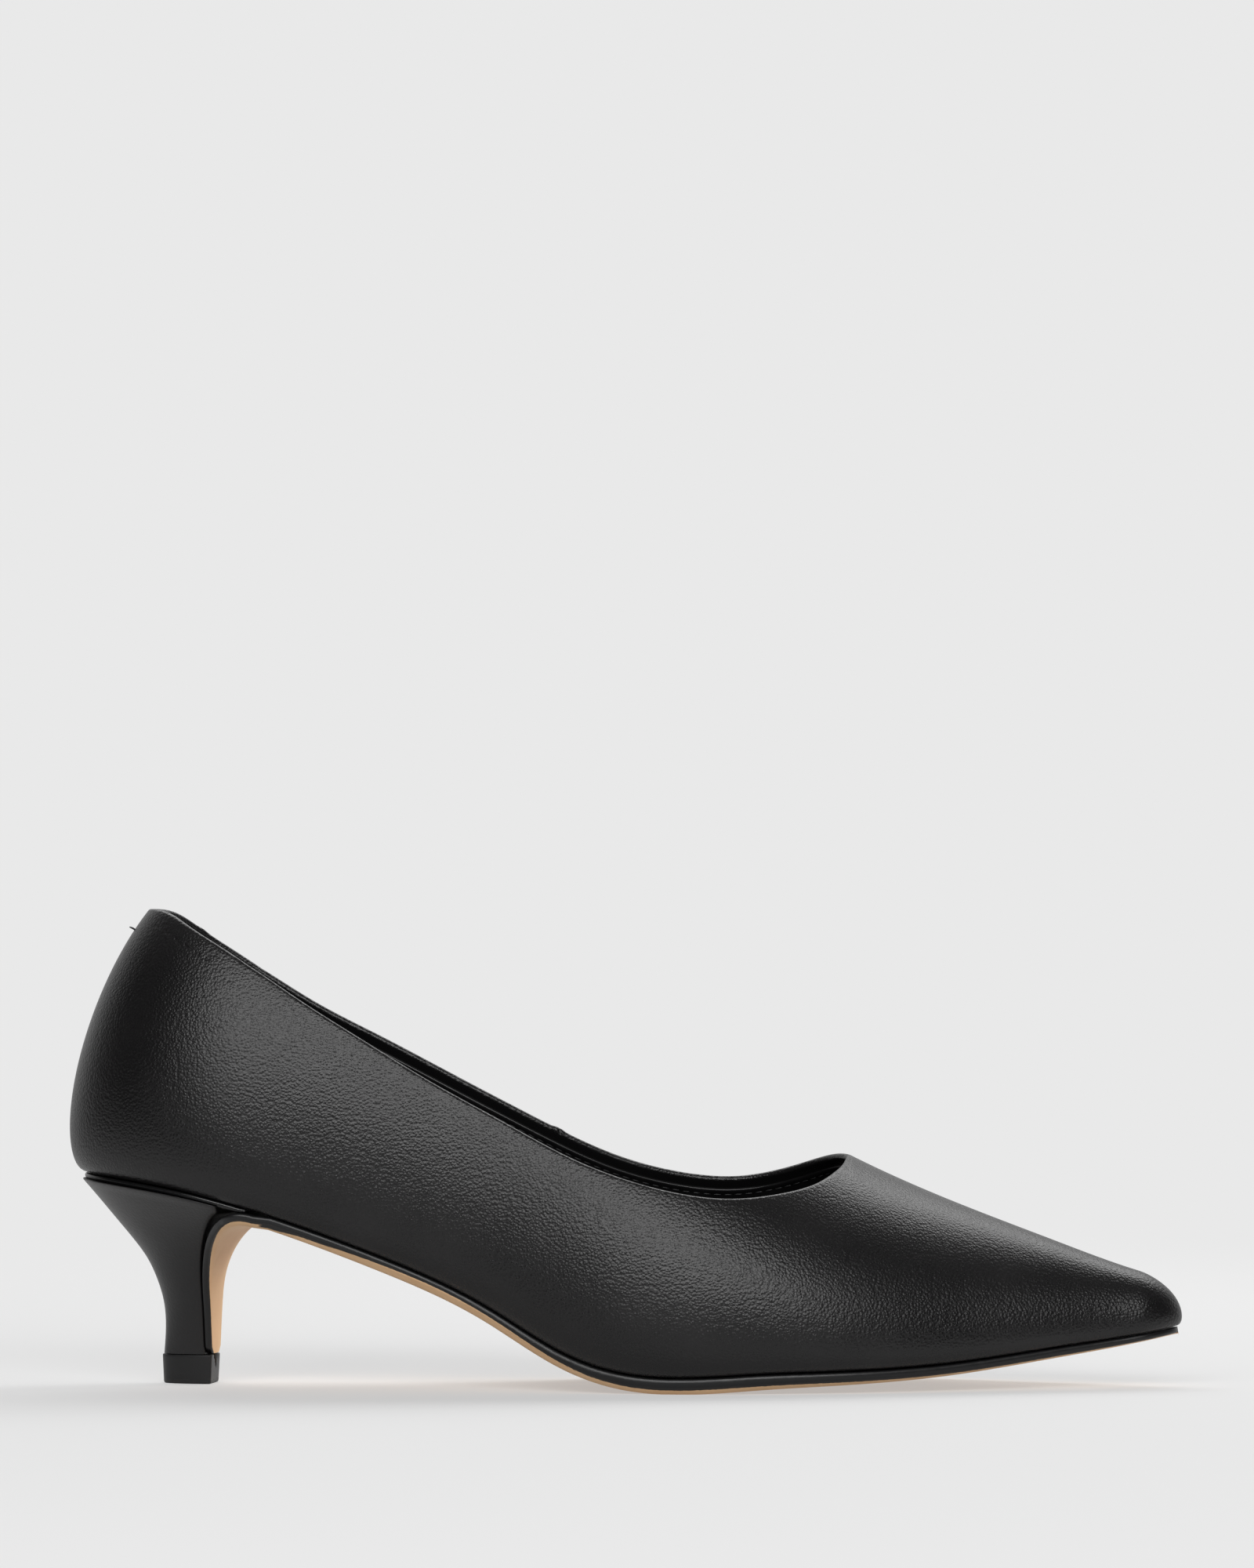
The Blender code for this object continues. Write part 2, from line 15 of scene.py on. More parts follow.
import bmesh
import bpy
import numpy as np
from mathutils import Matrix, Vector
from mathutils.bvhtree import BVHTree
from mathutils.geometry import interpolate_bezier
from mathutils.kdtree import KDTree

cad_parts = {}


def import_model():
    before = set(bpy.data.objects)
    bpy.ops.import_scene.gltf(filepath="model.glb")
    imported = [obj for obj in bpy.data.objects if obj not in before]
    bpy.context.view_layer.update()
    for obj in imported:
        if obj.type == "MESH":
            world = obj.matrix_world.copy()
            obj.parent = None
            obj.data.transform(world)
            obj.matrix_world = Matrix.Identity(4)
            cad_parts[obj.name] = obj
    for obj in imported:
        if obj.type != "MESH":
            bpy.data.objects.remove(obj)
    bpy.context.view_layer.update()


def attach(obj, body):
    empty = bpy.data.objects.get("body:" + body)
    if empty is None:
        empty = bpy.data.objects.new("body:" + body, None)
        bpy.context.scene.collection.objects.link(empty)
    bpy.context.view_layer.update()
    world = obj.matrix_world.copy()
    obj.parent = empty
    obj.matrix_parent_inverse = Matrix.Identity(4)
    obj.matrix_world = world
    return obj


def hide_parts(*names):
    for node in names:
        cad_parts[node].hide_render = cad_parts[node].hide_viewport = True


LOG = logging.getLogger("kitten_heel_pump")
MM = 0.001
BODY = "root"


class Side(Enum):
    """A side of the shoe, as the sign of its Y direction."""

    OUTER = -1
    INNER = 1


# The last


class Section(NamedTuple):
    """One section of the last, as shares of its named sizes."""

    station: float
    outer: float
    ridge: float
    inner: float
    rise: float
    spring: float
    arch: float
    depth: float
    bulge_outer: float
    bulge_inner: float
    fullness: float


class CollarPoint(NamedTuple):
    """Height of the collar's edge, as a share of the last's depth."""

    behind: float
    outer: float
    inner: float


class SoleSection(NamedTuple):
    """Edge, belly and lip of the sole, as shares of their named sizes."""

    station: float
    edge: float
    belly: float
    lip: float


class PaintLimit(NamedTuple):
    """Depth that the black paint reaches on the sole, as a share of the edge's height."""

    station: float
    depth: float


class HeelLevel(NamedTuple):
    """Heel outline, as shares of the way from the lift's size to the seat's."""

    rise: float
    back: float
    half: float


SECTIONS = [Section(*row) for row in (
    (0.000, 0.320, 0.030, 0.380, 1.000, 0.000, 0.00, 1.600, 1.20, 1.20, 1.85),
    (0.100, 0.349, 0.003, 0.352, 0.917, 0.000, 0.00, 1.620, 1.05, 1.05, 2.1),
    (0.180, 0.369, -0.020, 0.321, 0.794, 0.000, 0.20, 1.640, 1.05, 1.11, 2.25),
    (0.280, 0.381, -0.028, 0.264, 0.594, 0.000, 0.80, 1.688, 1.17, 1.53, 2.3),
    (0.380, 0.412, -0.014, 0.250, 0.336, 0.000, 1.00, 1.709, 1.22, 1.67, 2.4),
    (0.445, 0.474, 0.011, 0.295, 0.125, 0.000, 0.65, 1.667, 1.17, 1.50, 2.55),
    (0.495, 0.520, 0.034, 0.349, 0.030, 0.000, 0.20, 1.574, 1.11, 1.33, 2.65),
    (0.550, 0.543, 0.057, 0.412, 0.000, 0.010, 0.03, 1.414, 1.06, 1.17, 2.7),
    (0.625, 0.528, 0.071, 0.457, 0.000, 0.090, 0.00, 1.196, 1.00, 1.06, 2.5),
    (0.700, 0.472, 0.074, 0.443, 0.000, 0.144, 0.00, 0.982, 0.94, 0.94, 2.3),
    (0.795, 0.349, 0.054, 0.349, 0.000, 0.278, 0.00, 0.735, 0.72, 0.72, 2.2),
    (0.890, 0.213, 0.023, 0.210, 0.000, 0.588, 0.00, 0.483, 0.50, 0.50, 2.35),
    (0.955, 0.128, 0.009, 0.125, 0.000, 0.814, 0.00, 0.314, 0.36, 0.36, 3.0),
    (1.000, 0.088, 0.003, 0.085, 0.000, 1.000, 0.00, 0.207, 0.33, 0.33, 3.6),
)]
COLLAR = [CollarPoint(*row) for row in (
    (0.000, 1.000, 1.000),
    (0.013, 0.912, 0.978),
    (0.035, 0.828, 0.921),
    (0.070, 0.744, 0.826),
    (0.149, 0.637, 0.682),
    (0.228, 0.595, 0.621),
    (0.306, 0.566, 0.582),
    (0.385, 0.541, 0.551),
    (0.472, 0.521, 0.524),
    (0.541, 0.531, 0.533),
    (0.629, 0.578, 0.570),
    (0.714, 0.638, 0.617),
    (0.780, 0.694, 0.671),
    (0.890, 0.760, 0.749),
    (0.970, 0.795, 0.793),
    (1.000, 0.793, 0.793),
)]
SOLE_SECTIONS = [SoleSection(*row) for row in (
    (0.00, 0.84, 1.00, 1.00),
    (0.18, 0.84, 1.00, 1.00),
    (0.30, 0.97, 1.00, 1.00),
    (0.42, 1.03, 0.95, 1.00),
    (0.50, 1.20, 1.00, 1.00),
    (0.60, 1.20, 1.00, 1.00),
    (0.70, 1.10, 0.75, 0.95),
    (0.82, 1.00, 0.50, 0.75),
    (0.91, 0.88, 0.38, 0.45),
    (1.00, 0.64, 0.15, 0.10),
)]
PAINT_LIMITS = [PaintLimit(*row) for row in (
    (0.17, 1.60),
    (0.21, 1.25),
    (0.27, 0.85),
    (0.32, 0.72),
    (0.40, 0.85),
    (0.48, 1.10),
    (0.56, 1.20),
)]
HEEL_LEVELS = [HeelLevel(*row) for row in (
    (0.00, -0.020, 0.000),
    (0.16, -0.041, 0.055),
    (0.32, -0.015, 0.115),
    (0.47, 0.083, 0.195),
    (0.58, 0.202, 0.275),
    (0.69, 0.387, 0.400),
    (0.80, 0.599, 0.570),
    (0.90, 0.794, 0.770),
    (1.00, 1.000, 1.000),
)]


class Spline:
    """Natural cubic spline through a table's rows."""

    def __init__(self, knots: Sequence[float], rows: Sequence[Sequence[float]]) -> None:
        """Fit the spline.

        Args:
            knots: Place of each row, rising.
            rows: Values at each place.
        """
        self.knots = np.asarray(knots, float)
        self.rows = np.asarray(rows, float)
        count = len(self.knots)
        step = np.diff(self.knots)
        slope = np.diff(self.rows, axis=0) / step[:, None]
        matrix = np.eye(count)
        right = np.zeros_like(self.rows)
        for i in range(1, count - 1):
            matrix[i, i - 1:i + 2] = step[i - 1], 2 * (step[i - 1] + step[i]), step[i]
            right[i] = 6 * (slope[i] - slope[i - 1])
        self.bend = np.linalg.solve(matrix, right)

    def at(self, place: Any) -> np.ndarray:
        """Values at each place; past the ends the curve goes on straight.

        Args:
            place: One place or an array of places.

        Returns:
            One row of values for each place.
        """
        place = np.atleast_1d(np.asarray(place, float))
        inside = np.clip(place, self.knots[0], self.knots[-1])
        i = np.clip(np.searchsorted(self.knots, inside) - 1, 0, len(self.knots) - 2)
        h = self.knots[i + 1] - self.knots[i]
        a = ((self.knots[i + 1] - inside) / h)[:, None]
        b = 1 - a
        h = h[:, None]
        low, high = self.rows[i], self.rows[i + 1]
        bend_low, bend_high = self.bend[i], self.bend[i + 1]
        value = a * low + b * high + ((a ** 3 - a) * bend_low + (b ** 3 - b) * bend_high) * h ** 2 / 6
        slope = (high - low) / h - (3 * a ** 2 - 1) * h * bend_low / 6 + (3 * b ** 2 - 1) * h * bend_high / 6
        return value + slope * (place - inside)[:, None]


def table_spline(table: Sequence[Sequence[float]]) -> Spline:
    """Spline through a table whose first column is the place."""
    rows = np.array(table, float)
    return Spline(rows[:, 0], rows[:, 1:])


Rib = tuple[float, float]


@dataclass
class Last:
    """The last that upper and sole are built on."""

    length: float = 246.1
    heel_overhang: float = 24.0
    ball_width: float = 70.4
    heel_height: float = 47.8
    ball_height: float = 3.7
    toe_spring: float = 13.6
    arch_lift: float = 2.7
    instep_depth: float = 47.4
    wall_bulge: float = 3.6
    heel_round: float = 38.0
    toe_round: float = 8.6
    throat_place: float = 172.8
    sections: Spline = field(default_factory=lambda: table_spline(SECTIONS))
    collar: Spline = field(default_factory=lambda: Spline(
        [math.sqrt(point.behind) for point in COLLAR],
        [(point.outer, point.inner) for point in COLLAR]))

    def __post_init__(self) -> None:
        """Work out the last's main places along X."""
        self.back_x = -self.heel_overhang
        self.heel_pivot = self.back_x + self.heel_round
        self.toe_pivot = self.back_x + self.length - self.toe_round
        self.throat_x = self.back_x + self.throat_place

    def station(self, x: Any) -> Any:
        """Share of the last's length at x."""
        return (np.asarray(x, float) - self.back_x) / self.length

    def section(self, x: Any) -> dict[Any, Any]:
        """The section at x, in millimetres."""
        share = Section(0.0, *self.sections.at(self.station(x)).T)
        feather = (self.ball_height + (self.heel_height - self.ball_height) * share.rise
                   + (self.toe_spring - self.ball_height) * share.spring)
        return {
            "ridge": share.ridge * self.ball_width,
            Side.OUTER: (share.outer + share.ridge) * self.ball_width,
            Side.INNER: (share.inner - share.ridge) * self.ball_width,
            "feather": feather,
            "arch": self.arch_lift * share.arch,
            "crown": feather + self.instep_depth * share.depth,
            "bulge": {Side.OUTER: self.wall_bulge * share.bulge_outer,
                      Side.INNER: self.wall_bulge * share.bulge_inner},
            "fullness": share.fullness,
        }

    def feather_height(self, x: Any) -> Any:
        """Height of the outer feather line."""
        return self.section(x)["feather"]

    def feather_slope(self, x: float) -> float:
        """Rise of the outer feather line for each millimetre towards the toe."""
        behind, before = self.feather_height(np.array([x - 1, x + 1]))
        return float(before - behind) / 2

    def rib(self, side: Side, rib: Rib, angle: np.ndarray) -> np.ndarray:
        """Points up one rib of the last.

        Args:
            side: Which side of the shoe.
            rib: Place along X and sine of the rib's swing in the rounded ends.
            angle: Angles from the feather line (0) to the ridge (pi / 2).

        Returns:
            One point for each angle.
        """
        base, turn = rib
        plane = self.section(base)
        run = np.cos(angle)
        height = np.sin(angle) ** (2 / plane["fullness"])
        swell = np.sin(math.pi * height ** 0.45)
        bulge = (plane["bulge"][Side.OUTER] + plane["bulge"][Side.INNER]) / 2
        if turn < 0:
            x = self.heel_pivot + turn * (self.heel_round * run + bulge * swell)
        elif turn > 0:
            x = self.toe_pivot + turn * (self.toe_round * run + bulge * swell)
        else:
            x = np.full_like(angle, base)
        here = self.section(x)
        spread = math.sqrt(max(0.0, 1 - turn ** 2))
        y = here["ridge"] + side.value * (here[side] * run + here["bulge"][side] * swell) * spread
        foot = here["feather"] + (here["arch"] * spread if side is Side.INNER else 0)
        return np.stack([x, y, foot + (here["crown"] - foot) * height], axis=1)

    def feather_edge(self, side: Side, rib: Rib, out: float) -> np.ndarray:
        """Point that lies out past the feather line, at its height."""
        base, turn = rib
        if turn < 0:
            x = self.heel_pivot + turn * (self.heel_round + out)
        elif turn > 0:
            x = self.toe_pivot + turn * (self.toe_round + out)
        else:
            x = base
        here = self.section(x)
        spread = math.sqrt(max(0.0, 1 - turn ** 2))
        y = here["ridge"][0] + side.value * (here[side][0] + out) * spread
        lift = here["arch"][0] * spread if side is Side.INNER else 0
        return np.array([x, y, here["feather"][0] + lift])

    def collar_angle(self, side: Side, base: float) -> float:
        """Angle at which the collar cuts a rib; in front of the throat the rib is whole."""
        if base >= self.throat_x:
            return math.pi / 2
        behind = (self.throat_x - base) / self.throat_place
        outer, inner = self.collar.at(math.sqrt(behind))[0]
        height = min(1.0, outer if side is Side.OUTER else inner)
        return math.asin(height ** (self.section(base)["fullness"][0] / 2))

    def heel_ribs(self, count: int) -> list[Rib]:
        """Ribs round the back, from the middle to the heel's widest part."""
        swings = [math.pi / 2 * (1 - i / count) for i in range(count)]
        return [(self.heel_pivot - self.heel_round * math.sin(swing), -math.sin(swing)) for swing in swings]

    def toe_ribs(self, count: int) -> list[Rib]:
        """Ribs round the toe, ending at its tip."""
        swings = [math.pi / 2 * i / count for i in range(1, count + 1)]
        return [(self.toe_pivot + self.toe_round * math.sin(swing), math.sin(swing)) for swing in swings]


def straight_ribs(start: float, end: float, count: int, power: float = 1.0) -> list[Rib]:
    """Ribs between start and end, end left out, closer together near end."""
    return [(end - (end - start) * (1 - i / count) ** power, 0.0) for i in range(count)]


def even_rows(points: np.ndarray, count: int, power: float = 1.0) -> np.ndarray:
    """The same curve with its points evenly spaced, or closer together near its foot."""
    length = np.concatenate([[0], np.cumsum(np.linalg.norm(np.diff(points, axis=0), axis=1))])
    share = np.linspace(0, 1, count + 1) ** power
    return np.stack([np.interp(share * length[-1], length, points[:, i]) for i in range(3)], axis=1)


def smooth_loop(values: np.ndarray, passes: int) -> np.ndarray:
    """Values along a closed loop, averaged with their neighbours."""
    for _ in range(passes):
        values = (np.roll(values, 1, axis=0) + 2 * values + np.roll(values, -1, axis=0)) / 4
    return values


def unit(vectors: np.ndarray) -> np.ndarray:
    """Vectors scaled to a length of one."""
    return vectors / np.maximum(np.linalg.norm(vectors, axis=-1, keepdims=True), 1e-9)


# Nodes


Linkable = Union["Signal", bpy.types.NodeSocket, float, int, Sequence[float], bpy.types.ID, str, bool]


class Graph:
    """A node tree that is filled from Python."""

    def __init__(self, tree: bpy.types.NodeTree) -> None:
        """Hold the tree and give each new node a column of its own."""
        self.tree = tree
        self.column = 0

    def node(self, kind: str, settings: dict[str, Any] | None = None,
             inputs: dict[Any, Linkable] | None = None) -> bpy.types.Node:
        """Add a node.

        Args:
            kind: Blender's type name of the node.
            settings: Its own settings, set before its inputs.
            inputs: Values or links of its sockets, by name or number.

        Returns:
            The new node.
        """
        node = self.tree.nodes.new(kind)
        node.location = (self.column * 40, -(self.column % 7) * 120)
        self.column += 1
        for key, value in (settings or {}).items():
            setattr(node, key, value)
        for key, value in (inputs or {}).items():
            self.feed(node.inputs[key], value)
        return node

    def feed(self, socket: bpy.types.NodeSocket, value: Linkable) -> None:
        """Link a socket, or set its own value."""
        if isinstance(value, Signal):
            self.tree.links.new(value.socket, socket)
        elif isinstance(value, bpy.types.NodeSocket):
            self.tree.links.new(value, socket)
        elif socket.type == "RGBA" and len(value) == 3:
            socket.default_value = (*value, 1.0)
        else:
            socket.default_value = value

    def signal(self, kind: str, settings: dict[str, Any] | None = None,
               inputs: dict[Any, Linkable] | None = None, output: Any = 0) -> "Signal":
        """Add a node and wrap one of its outputs."""
        return Signal(self, self.node(kind, settings, inputs).outputs[output])

    def attribute(self, name: str) -> "Signal":
        """The number that the mesh stores under a name."""
        return self.signal("ShaderNodeAttribute", {"attribute_name": name}, output="Fac")

    def object_point(self, scale: tuple[float, float, float] = (1.0, 1.0, 1.0)) -> bpy.types.NodeSocket:
        """Object coordinates, stretched by a scale."""
        place = self.node("ShaderNodeTexCoord").outputs["Object"]
        return self.node("ShaderNodeMapping", None, {"Vector": place, "Scale": scale}).outputs[0]

    def axes(self, vector: Any, scale: float = 1.0) -> list["Signal"]:
        """The three numbers of a vector, each times a scale."""
        split = self.node("ShaderNodeSeparateXYZ", None, {0: vector})
        return [Signal(self, output) * scale for output in split.outputs]

    def noise(self, point: Any, size_mm: float, detail: float = 2.0, roughness: float = 0.5) -> "Signal":
        """Cloudy noise between 0 and 1, with lumps of a size in millimetres."""
        return self.signal("ShaderNodeTexNoise", None, {
            "Vector": point, "Scale": 1 / (size_mm * MM), "Detail": detail, "Roughness": roughness})

    def cells(self, point: Any, size_mm: float) -> "Signal":
        """Distance from the middles of cells with a size in millimetres."""
        return self.signal("ShaderNodeTexVoronoi", None,
                           {"Vector": point, "Scale": 1 / (size_mm * MM)}, output="Distance")

    def blend(self, share: Linkable, first: Linkable, second: Linkable) -> bpy.types.NodeSocket:
        """Colour between two colours."""
        mix = self.node("ShaderNodeMix", {"data_type": "RGBA"})
        self.feed(mix.inputs[0], share)
        self.feed(mix.inputs[6], first)
        self.feed(mix.inputs[7], second)
        return mix.outputs[2]

    def step(self, value: "Signal", low: float, high: float) -> "Signal":
        """Smooth step from 0 at low to 1 at high."""
        return self.signal("ShaderNodeMapRange", {"interpolation_type": "SMOOTHSTEP"},
                           {"Value": value, "From Min": low, "From Max": high})

    def bump(self, height_mm: "Signal", strength: float = 1.0) -> bpy.types.NodeSocket:
        """Normal of a relief whose height is given in millimetres."""
        return self.node("ShaderNodeBump", None, {
            "Strength": strength, "Distance": MM, "Height": height_mm}).outputs[0]


class Signal:
    """A number on a node's output that Python's operators can work with."""

    def __init__(self, graph: Graph, socket: bpy.types.NodeSocket) -> None:
        """Wrap a socket of a graph."""
        self.graph = graph
        self.socket = socket

    def _math(self, operation: str, first: Linkable, second: Linkable = 0.0) -> "Signal":
        """Add a Math node on two values."""
        return self.graph.signal("ShaderNodeMath", {"operation": operation}, {0: first, 1: second})

    def __add__(self, other: Linkable) -> "Signal":
        """Sum."""
        return self._math("ADD", self, other)

    def __sub__(self, other: Linkable) -> "Signal":
        """Difference."""
        return self._math("SUBTRACT", self, other)

    def __rsub__(self, other: Linkable) -> "Signal":
        """Difference, the other way round."""
        return self._math("SUBTRACT", other, self)

    def __mul__(self, other: Linkable) -> "Signal":
        """Product."""
        return self._math("MULTIPLY", self, other)

    def __abs__(self) -> "Signal":
        """Size without its sign."""
        return self._math("ABSOLUTE", self)

    __radd__ = __add__
    __rmul__ = __mul__

    def sine(self) -> "Signal":
        """Sine of the number."""
        return self._math("SINE", self)


Color = tuple[float, float, float]


class Face(NamedTuple):
    """What a material looks like: colour, roughness and relief in millimetres."""

    color: Linkable
    roughness: Linkable
    relief_mm: Signal


def shader_of(name: str) -> tuple[bpy.types.Material, Graph, bpy.types.Node]:
    """New material with its graph and Principled shader."""
    look = bpy.data.materials.new(name)
    look.use_nodes = True
    return look, Graph(look.node_tree), look.node_tree.nodes["Principled BSDF"]


def set_face(graph: Graph, shader: bpy.types.Node, face: Face) -> None:
    """Give a shader its colour, roughness and relief."""
    graph.feed(shader.inputs["Base Color"], face.color)
    graph.feed(shader.inputs["Roughness"], face.roughness)
    graph.feed(shader.inputs["Normal"], graph.bump(face.relief_mm))


@dataclass(frozen=True)
class PebbledLeather:
    """Full grain leather with a fine pebble, dyed black and lightly finished."""

    name: str
    color: Color = (0.0068, 0.0064, 0.0068)
    worn: Color = (0.0105, 0.0098, 0.0102)
    roughness: float = 0.29
    pebble_mm: float = 0.62
    pebble_depth_mm: float = 0.085
    wave_mm: float = 9.0
    wave_depth_mm: float = 0.05
    patch_mm: float = 22.0
    finish: float = 0.0
    finish_roughness: float = 0.3

    def fine(self, graph: Graph) -> Signal:
        """Pores between the pebbles."""
        return graph.noise(graph.object_point(), self.pebble_mm * 0.45, 2.0, 0.6)

    def wave(self, graph: Graph) -> Signal:
        """Slow waves of the hide."""
        return graph.noise(graph.object_point(), self.wave_mm, 1.5, 0.4)

    def face(self, graph: Graph) -> Face:
        """The plain leather, away from seams and edges."""
        point = graph.object_point()
        cells = graph.cells(point, self.pebble_mm)
        patch = graph.noise(point, self.patch_mm, 2.0, 0.5)
        depth = self.pebble_depth_mm
        return Face(
            graph.blend(graph.step(patch, 0.35, 0.75), self.color, self.worn),
            cells * 0.07 + patch * 0.08 + (self.roughness - 0.07),
            cells * -depth + self.fine(graph) * (depth * 0.5) + self.wave(graph) * self.wave_depth_mm)

    def make(self) -> bpy.types.Material:
        """Build the material."""
        look, graph, shader = shader_of(self.name)
        set_face(graph, shader, self.face(graph))
        shader.inputs["Coat Weight"].default_value = self.finish
        shader.inputs["Coat Roughness"].default_value = self.finish_roughness
        return look


@dataclass(frozen=True)
class UpperLeather:
    """The upper's leather outside, running over the collar into smooth lining leather inside."""

    outside: PebbledLeather
    lining_color: Color = (0.0045, 0.0044, 0.0047)
    lining_roughness: float = 0.27
    seam_color: Color = (0.004, 0.004, 0.004)
    seam_x_mm: float = 81.5
    seam_z_mm: float = 60.0
    seam_lean: float = -0.16
    back_seam_y_mm: float = 0.8
    seam_width_mm: float = 0.45
    seam_depth_mm: float = 0.22
    pull_depth_mm: float = 0.05
    impression_below_mm: float = 3.4
    impression_depth_mm: float = 0.07
    impression_pitch: float = 2.6

    def seams(self, graph: Graph, x: Signal, y: Signal, z: Signal) -> Signal:
        """Share of the side seam and the back seam at a place."""
        side_gap = abs(x - self.seam_x_mm - (z - self.seam_z_mm) * self.seam_lean)
        side_seam = (1 - graph.step(side_gap, 0.0, self.seam_width_mm)) * graph.step(y, 2.0, 6.0)
        back_gap = abs(y - self.back_seam_y_mm)
        back_seam = (1 - graph.step(back_gap, 0.0, self.seam_width_mm)) * (1 - graph.step(x, -6.0, -2.0))
        return side_seam + back_seam

    def impression(self, graph: Graph, x: Signal, y: Signal, below: Signal) -> Signal:
        """Share of the stitches' impression below the collar, at the heel's outer side."""
        row = 1 - graph.step(abs(below - self.impression_below_mm), 0.1, 0.55)
        dashes = graph.step((x * self.impression_pitch).sine(), -0.3, 0.4)
        at_heel = (1 - graph.step(abs(x + 0.5), 5.0, 9.0)) * (1 - graph.step(y, 2.0, 6.0))
        return row * dashes * at_heel

    def make(self) -> bpy.types.Material:
        """Build the material."""
        look, graph, shader = shader_of(self.outside.name)
        leather = self.outside.face(graph)
        inside, below = graph.attribute("inside"), graph.attribute("below")
        x, y, z = graph.axes(graph.object_point(), 1 / MM)
        seams = self.seams(graph, x, y, z)
        pull = graph.noise(graph.object_point((0.35, 1.0, 1.0)), 3.2, 2.0, 0.5)
        near_edge = 1 - graph.step(below, 0.0, 9.0)
        outer = (leather.relief_mm + pull * near_edge * self.pull_depth_mm - seams * self.seam_depth_mm
                 - self.impression(graph, x, y, below) * self.impression_depth_mm)
        lining = self.outside.fine(graph) * 0.006 + self.outside.wave(graph) * 0.05
        sewn = graph.blend(seams, leather.color, self.seam_color)
        set_face(graph, shader, Face(
            graph.blend(inside, sewn, self.lining_color),
            leather.roughness * (1 - inside) + inside * self.lining_roughness,
            outer * (1 - inside) + lining * inside))
        return look


@dataclass(frozen=True)
class LiningLeather:
    """Smooth black lining or sock leather with a soft sheen and faint creases."""

    name: str
    color: Color = (0.0050, 0.0048, 0.0052)
    roughness: float = 0.28

    def make(self) -> bpy.types.Material:
        """Build the material."""
        look, graph, shader = shader_of(self.name)
        fine = graph.noise(graph.object_point(), 0.3, 2.0, 0.6)
        crease = graph.noise(graph.object_point((1.0, 0.4, 1.0)), 4.5, 3.0, 0.55)
        lighter = tuple(share * 1.5 for share in self.color)
        set_face(graph, shader, Face(
            graph.blend(graph.step(crease, 0.4, 0.8), self.color, lighter),
            crease * 0.12 + (self.roughness - 0.05),
            fine * 0.008 + crease * 0.03))
        return look


@dataclass(frozen=True)
class PaintedEdge:
    """Sole leather whose edge is painted black and burnished."""

    name: str
    leather: Color = (0.77, 0.51, 0.29)
    scuffed: Color = (0.69, 0.43, 0.225)
    paint: Color = (0.008, 0.008, 0.0085)
    raggedness: float = 0.35

    def make(self) -> bpy.types.Material:
        """Build the material."""
        look, graph, shader = shader_of(self.name)
        point = graph.object_point()
        ragged = graph.noise(point, 0.9, 2.0, 0.5)
        share = graph.step(graph.attribute("paint") + (ragged - 0.5) * self.raggedness, 0.35, 0.65)
        fibre = graph.noise(graph.object_point((0.25, 1.0, 1.0)), 0.35, 2.0, 0.6)
        patch = graph.noise(point, 14.0, 3.0, 0.55)
        lumps = graph.noise(point, 2.4, 2.0, 0.5)
        tan = graph.blend(graph.step(patch, 0.3, 0.8), self.leather, self.scuffed)
        set_face(graph, shader, Face(
            graph.blend(share, tan, self.paint),
            (fibre * 0.1 + 0.45) * (1 - share) + share * (lumps * 0.14 + 0.27),
            fibre * 0.012 * (1 - share) + share * (lumps * 0.07 + ragged * 0.02)))
        return look


@dataclass(frozen=True)
class MouldedPlastic:
    """Black moulded plastic with fine scuffs where it meets the ground."""

    name: str
    color: Color = (0.011, 0.011, 0.0115)
    roughness: float = 0.38
    scuffed: Color = (0.05, 0.048, 0.045)
    scuff_height_mm: float = 1.6

    def make(self) -> bpy.types.Material:
        """Build the material."""
        look, graph, shader = shader_of(self.name)
        point = graph.object_point()
        height = graph.axes(point, 1 / MM)[2]
        low = 1 - graph.step(height, 0.2, self.scuff_height_mm)
        scratch = graph.noise(graph.object_point((0.3, 0.3, 2.0)), 0.5, 3.0, 0.6)
        scuff = low * graph.step(scratch, 0.5, 0.7)
        set_face(graph, shader, Face(
            graph.blend(scuff * 0.5, self.color, self.scuffed),
            scuff * 0.25 + scratch * 0.1 + (self.roughness - 0.05),
            graph.noise(point, 0.4) * 0.01 + scratch * 0.012))
        return look


@dataclass(frozen=True)
class SewingThread:
    """Black twisted polyester thread."""

    name: str = "thread"
    color: Color = (0.012, 0.012, 0.013)
    worn: Color = (0.03, 0.03, 0.032)

    def make(self) -> bpy.types.Material:
        """Build the material."""
        look, graph, shader = shader_of(self.name)
        twist = graph.noise(graph.object_point((1.0, 1.0, 0.4)), 0.12, 1.0, 0.5)
        set_face(graph, shader, Face(graph.blend(twist, self.color, self.worn), 0.5, twist * 0.02))
        return look


# Meshes


def link(obj: bpy.types.Object) -> bpy.types.Object:
    """Put a new object into the scene."""
    bpy.context.scene.collection.objects.link(obj)
    return obj


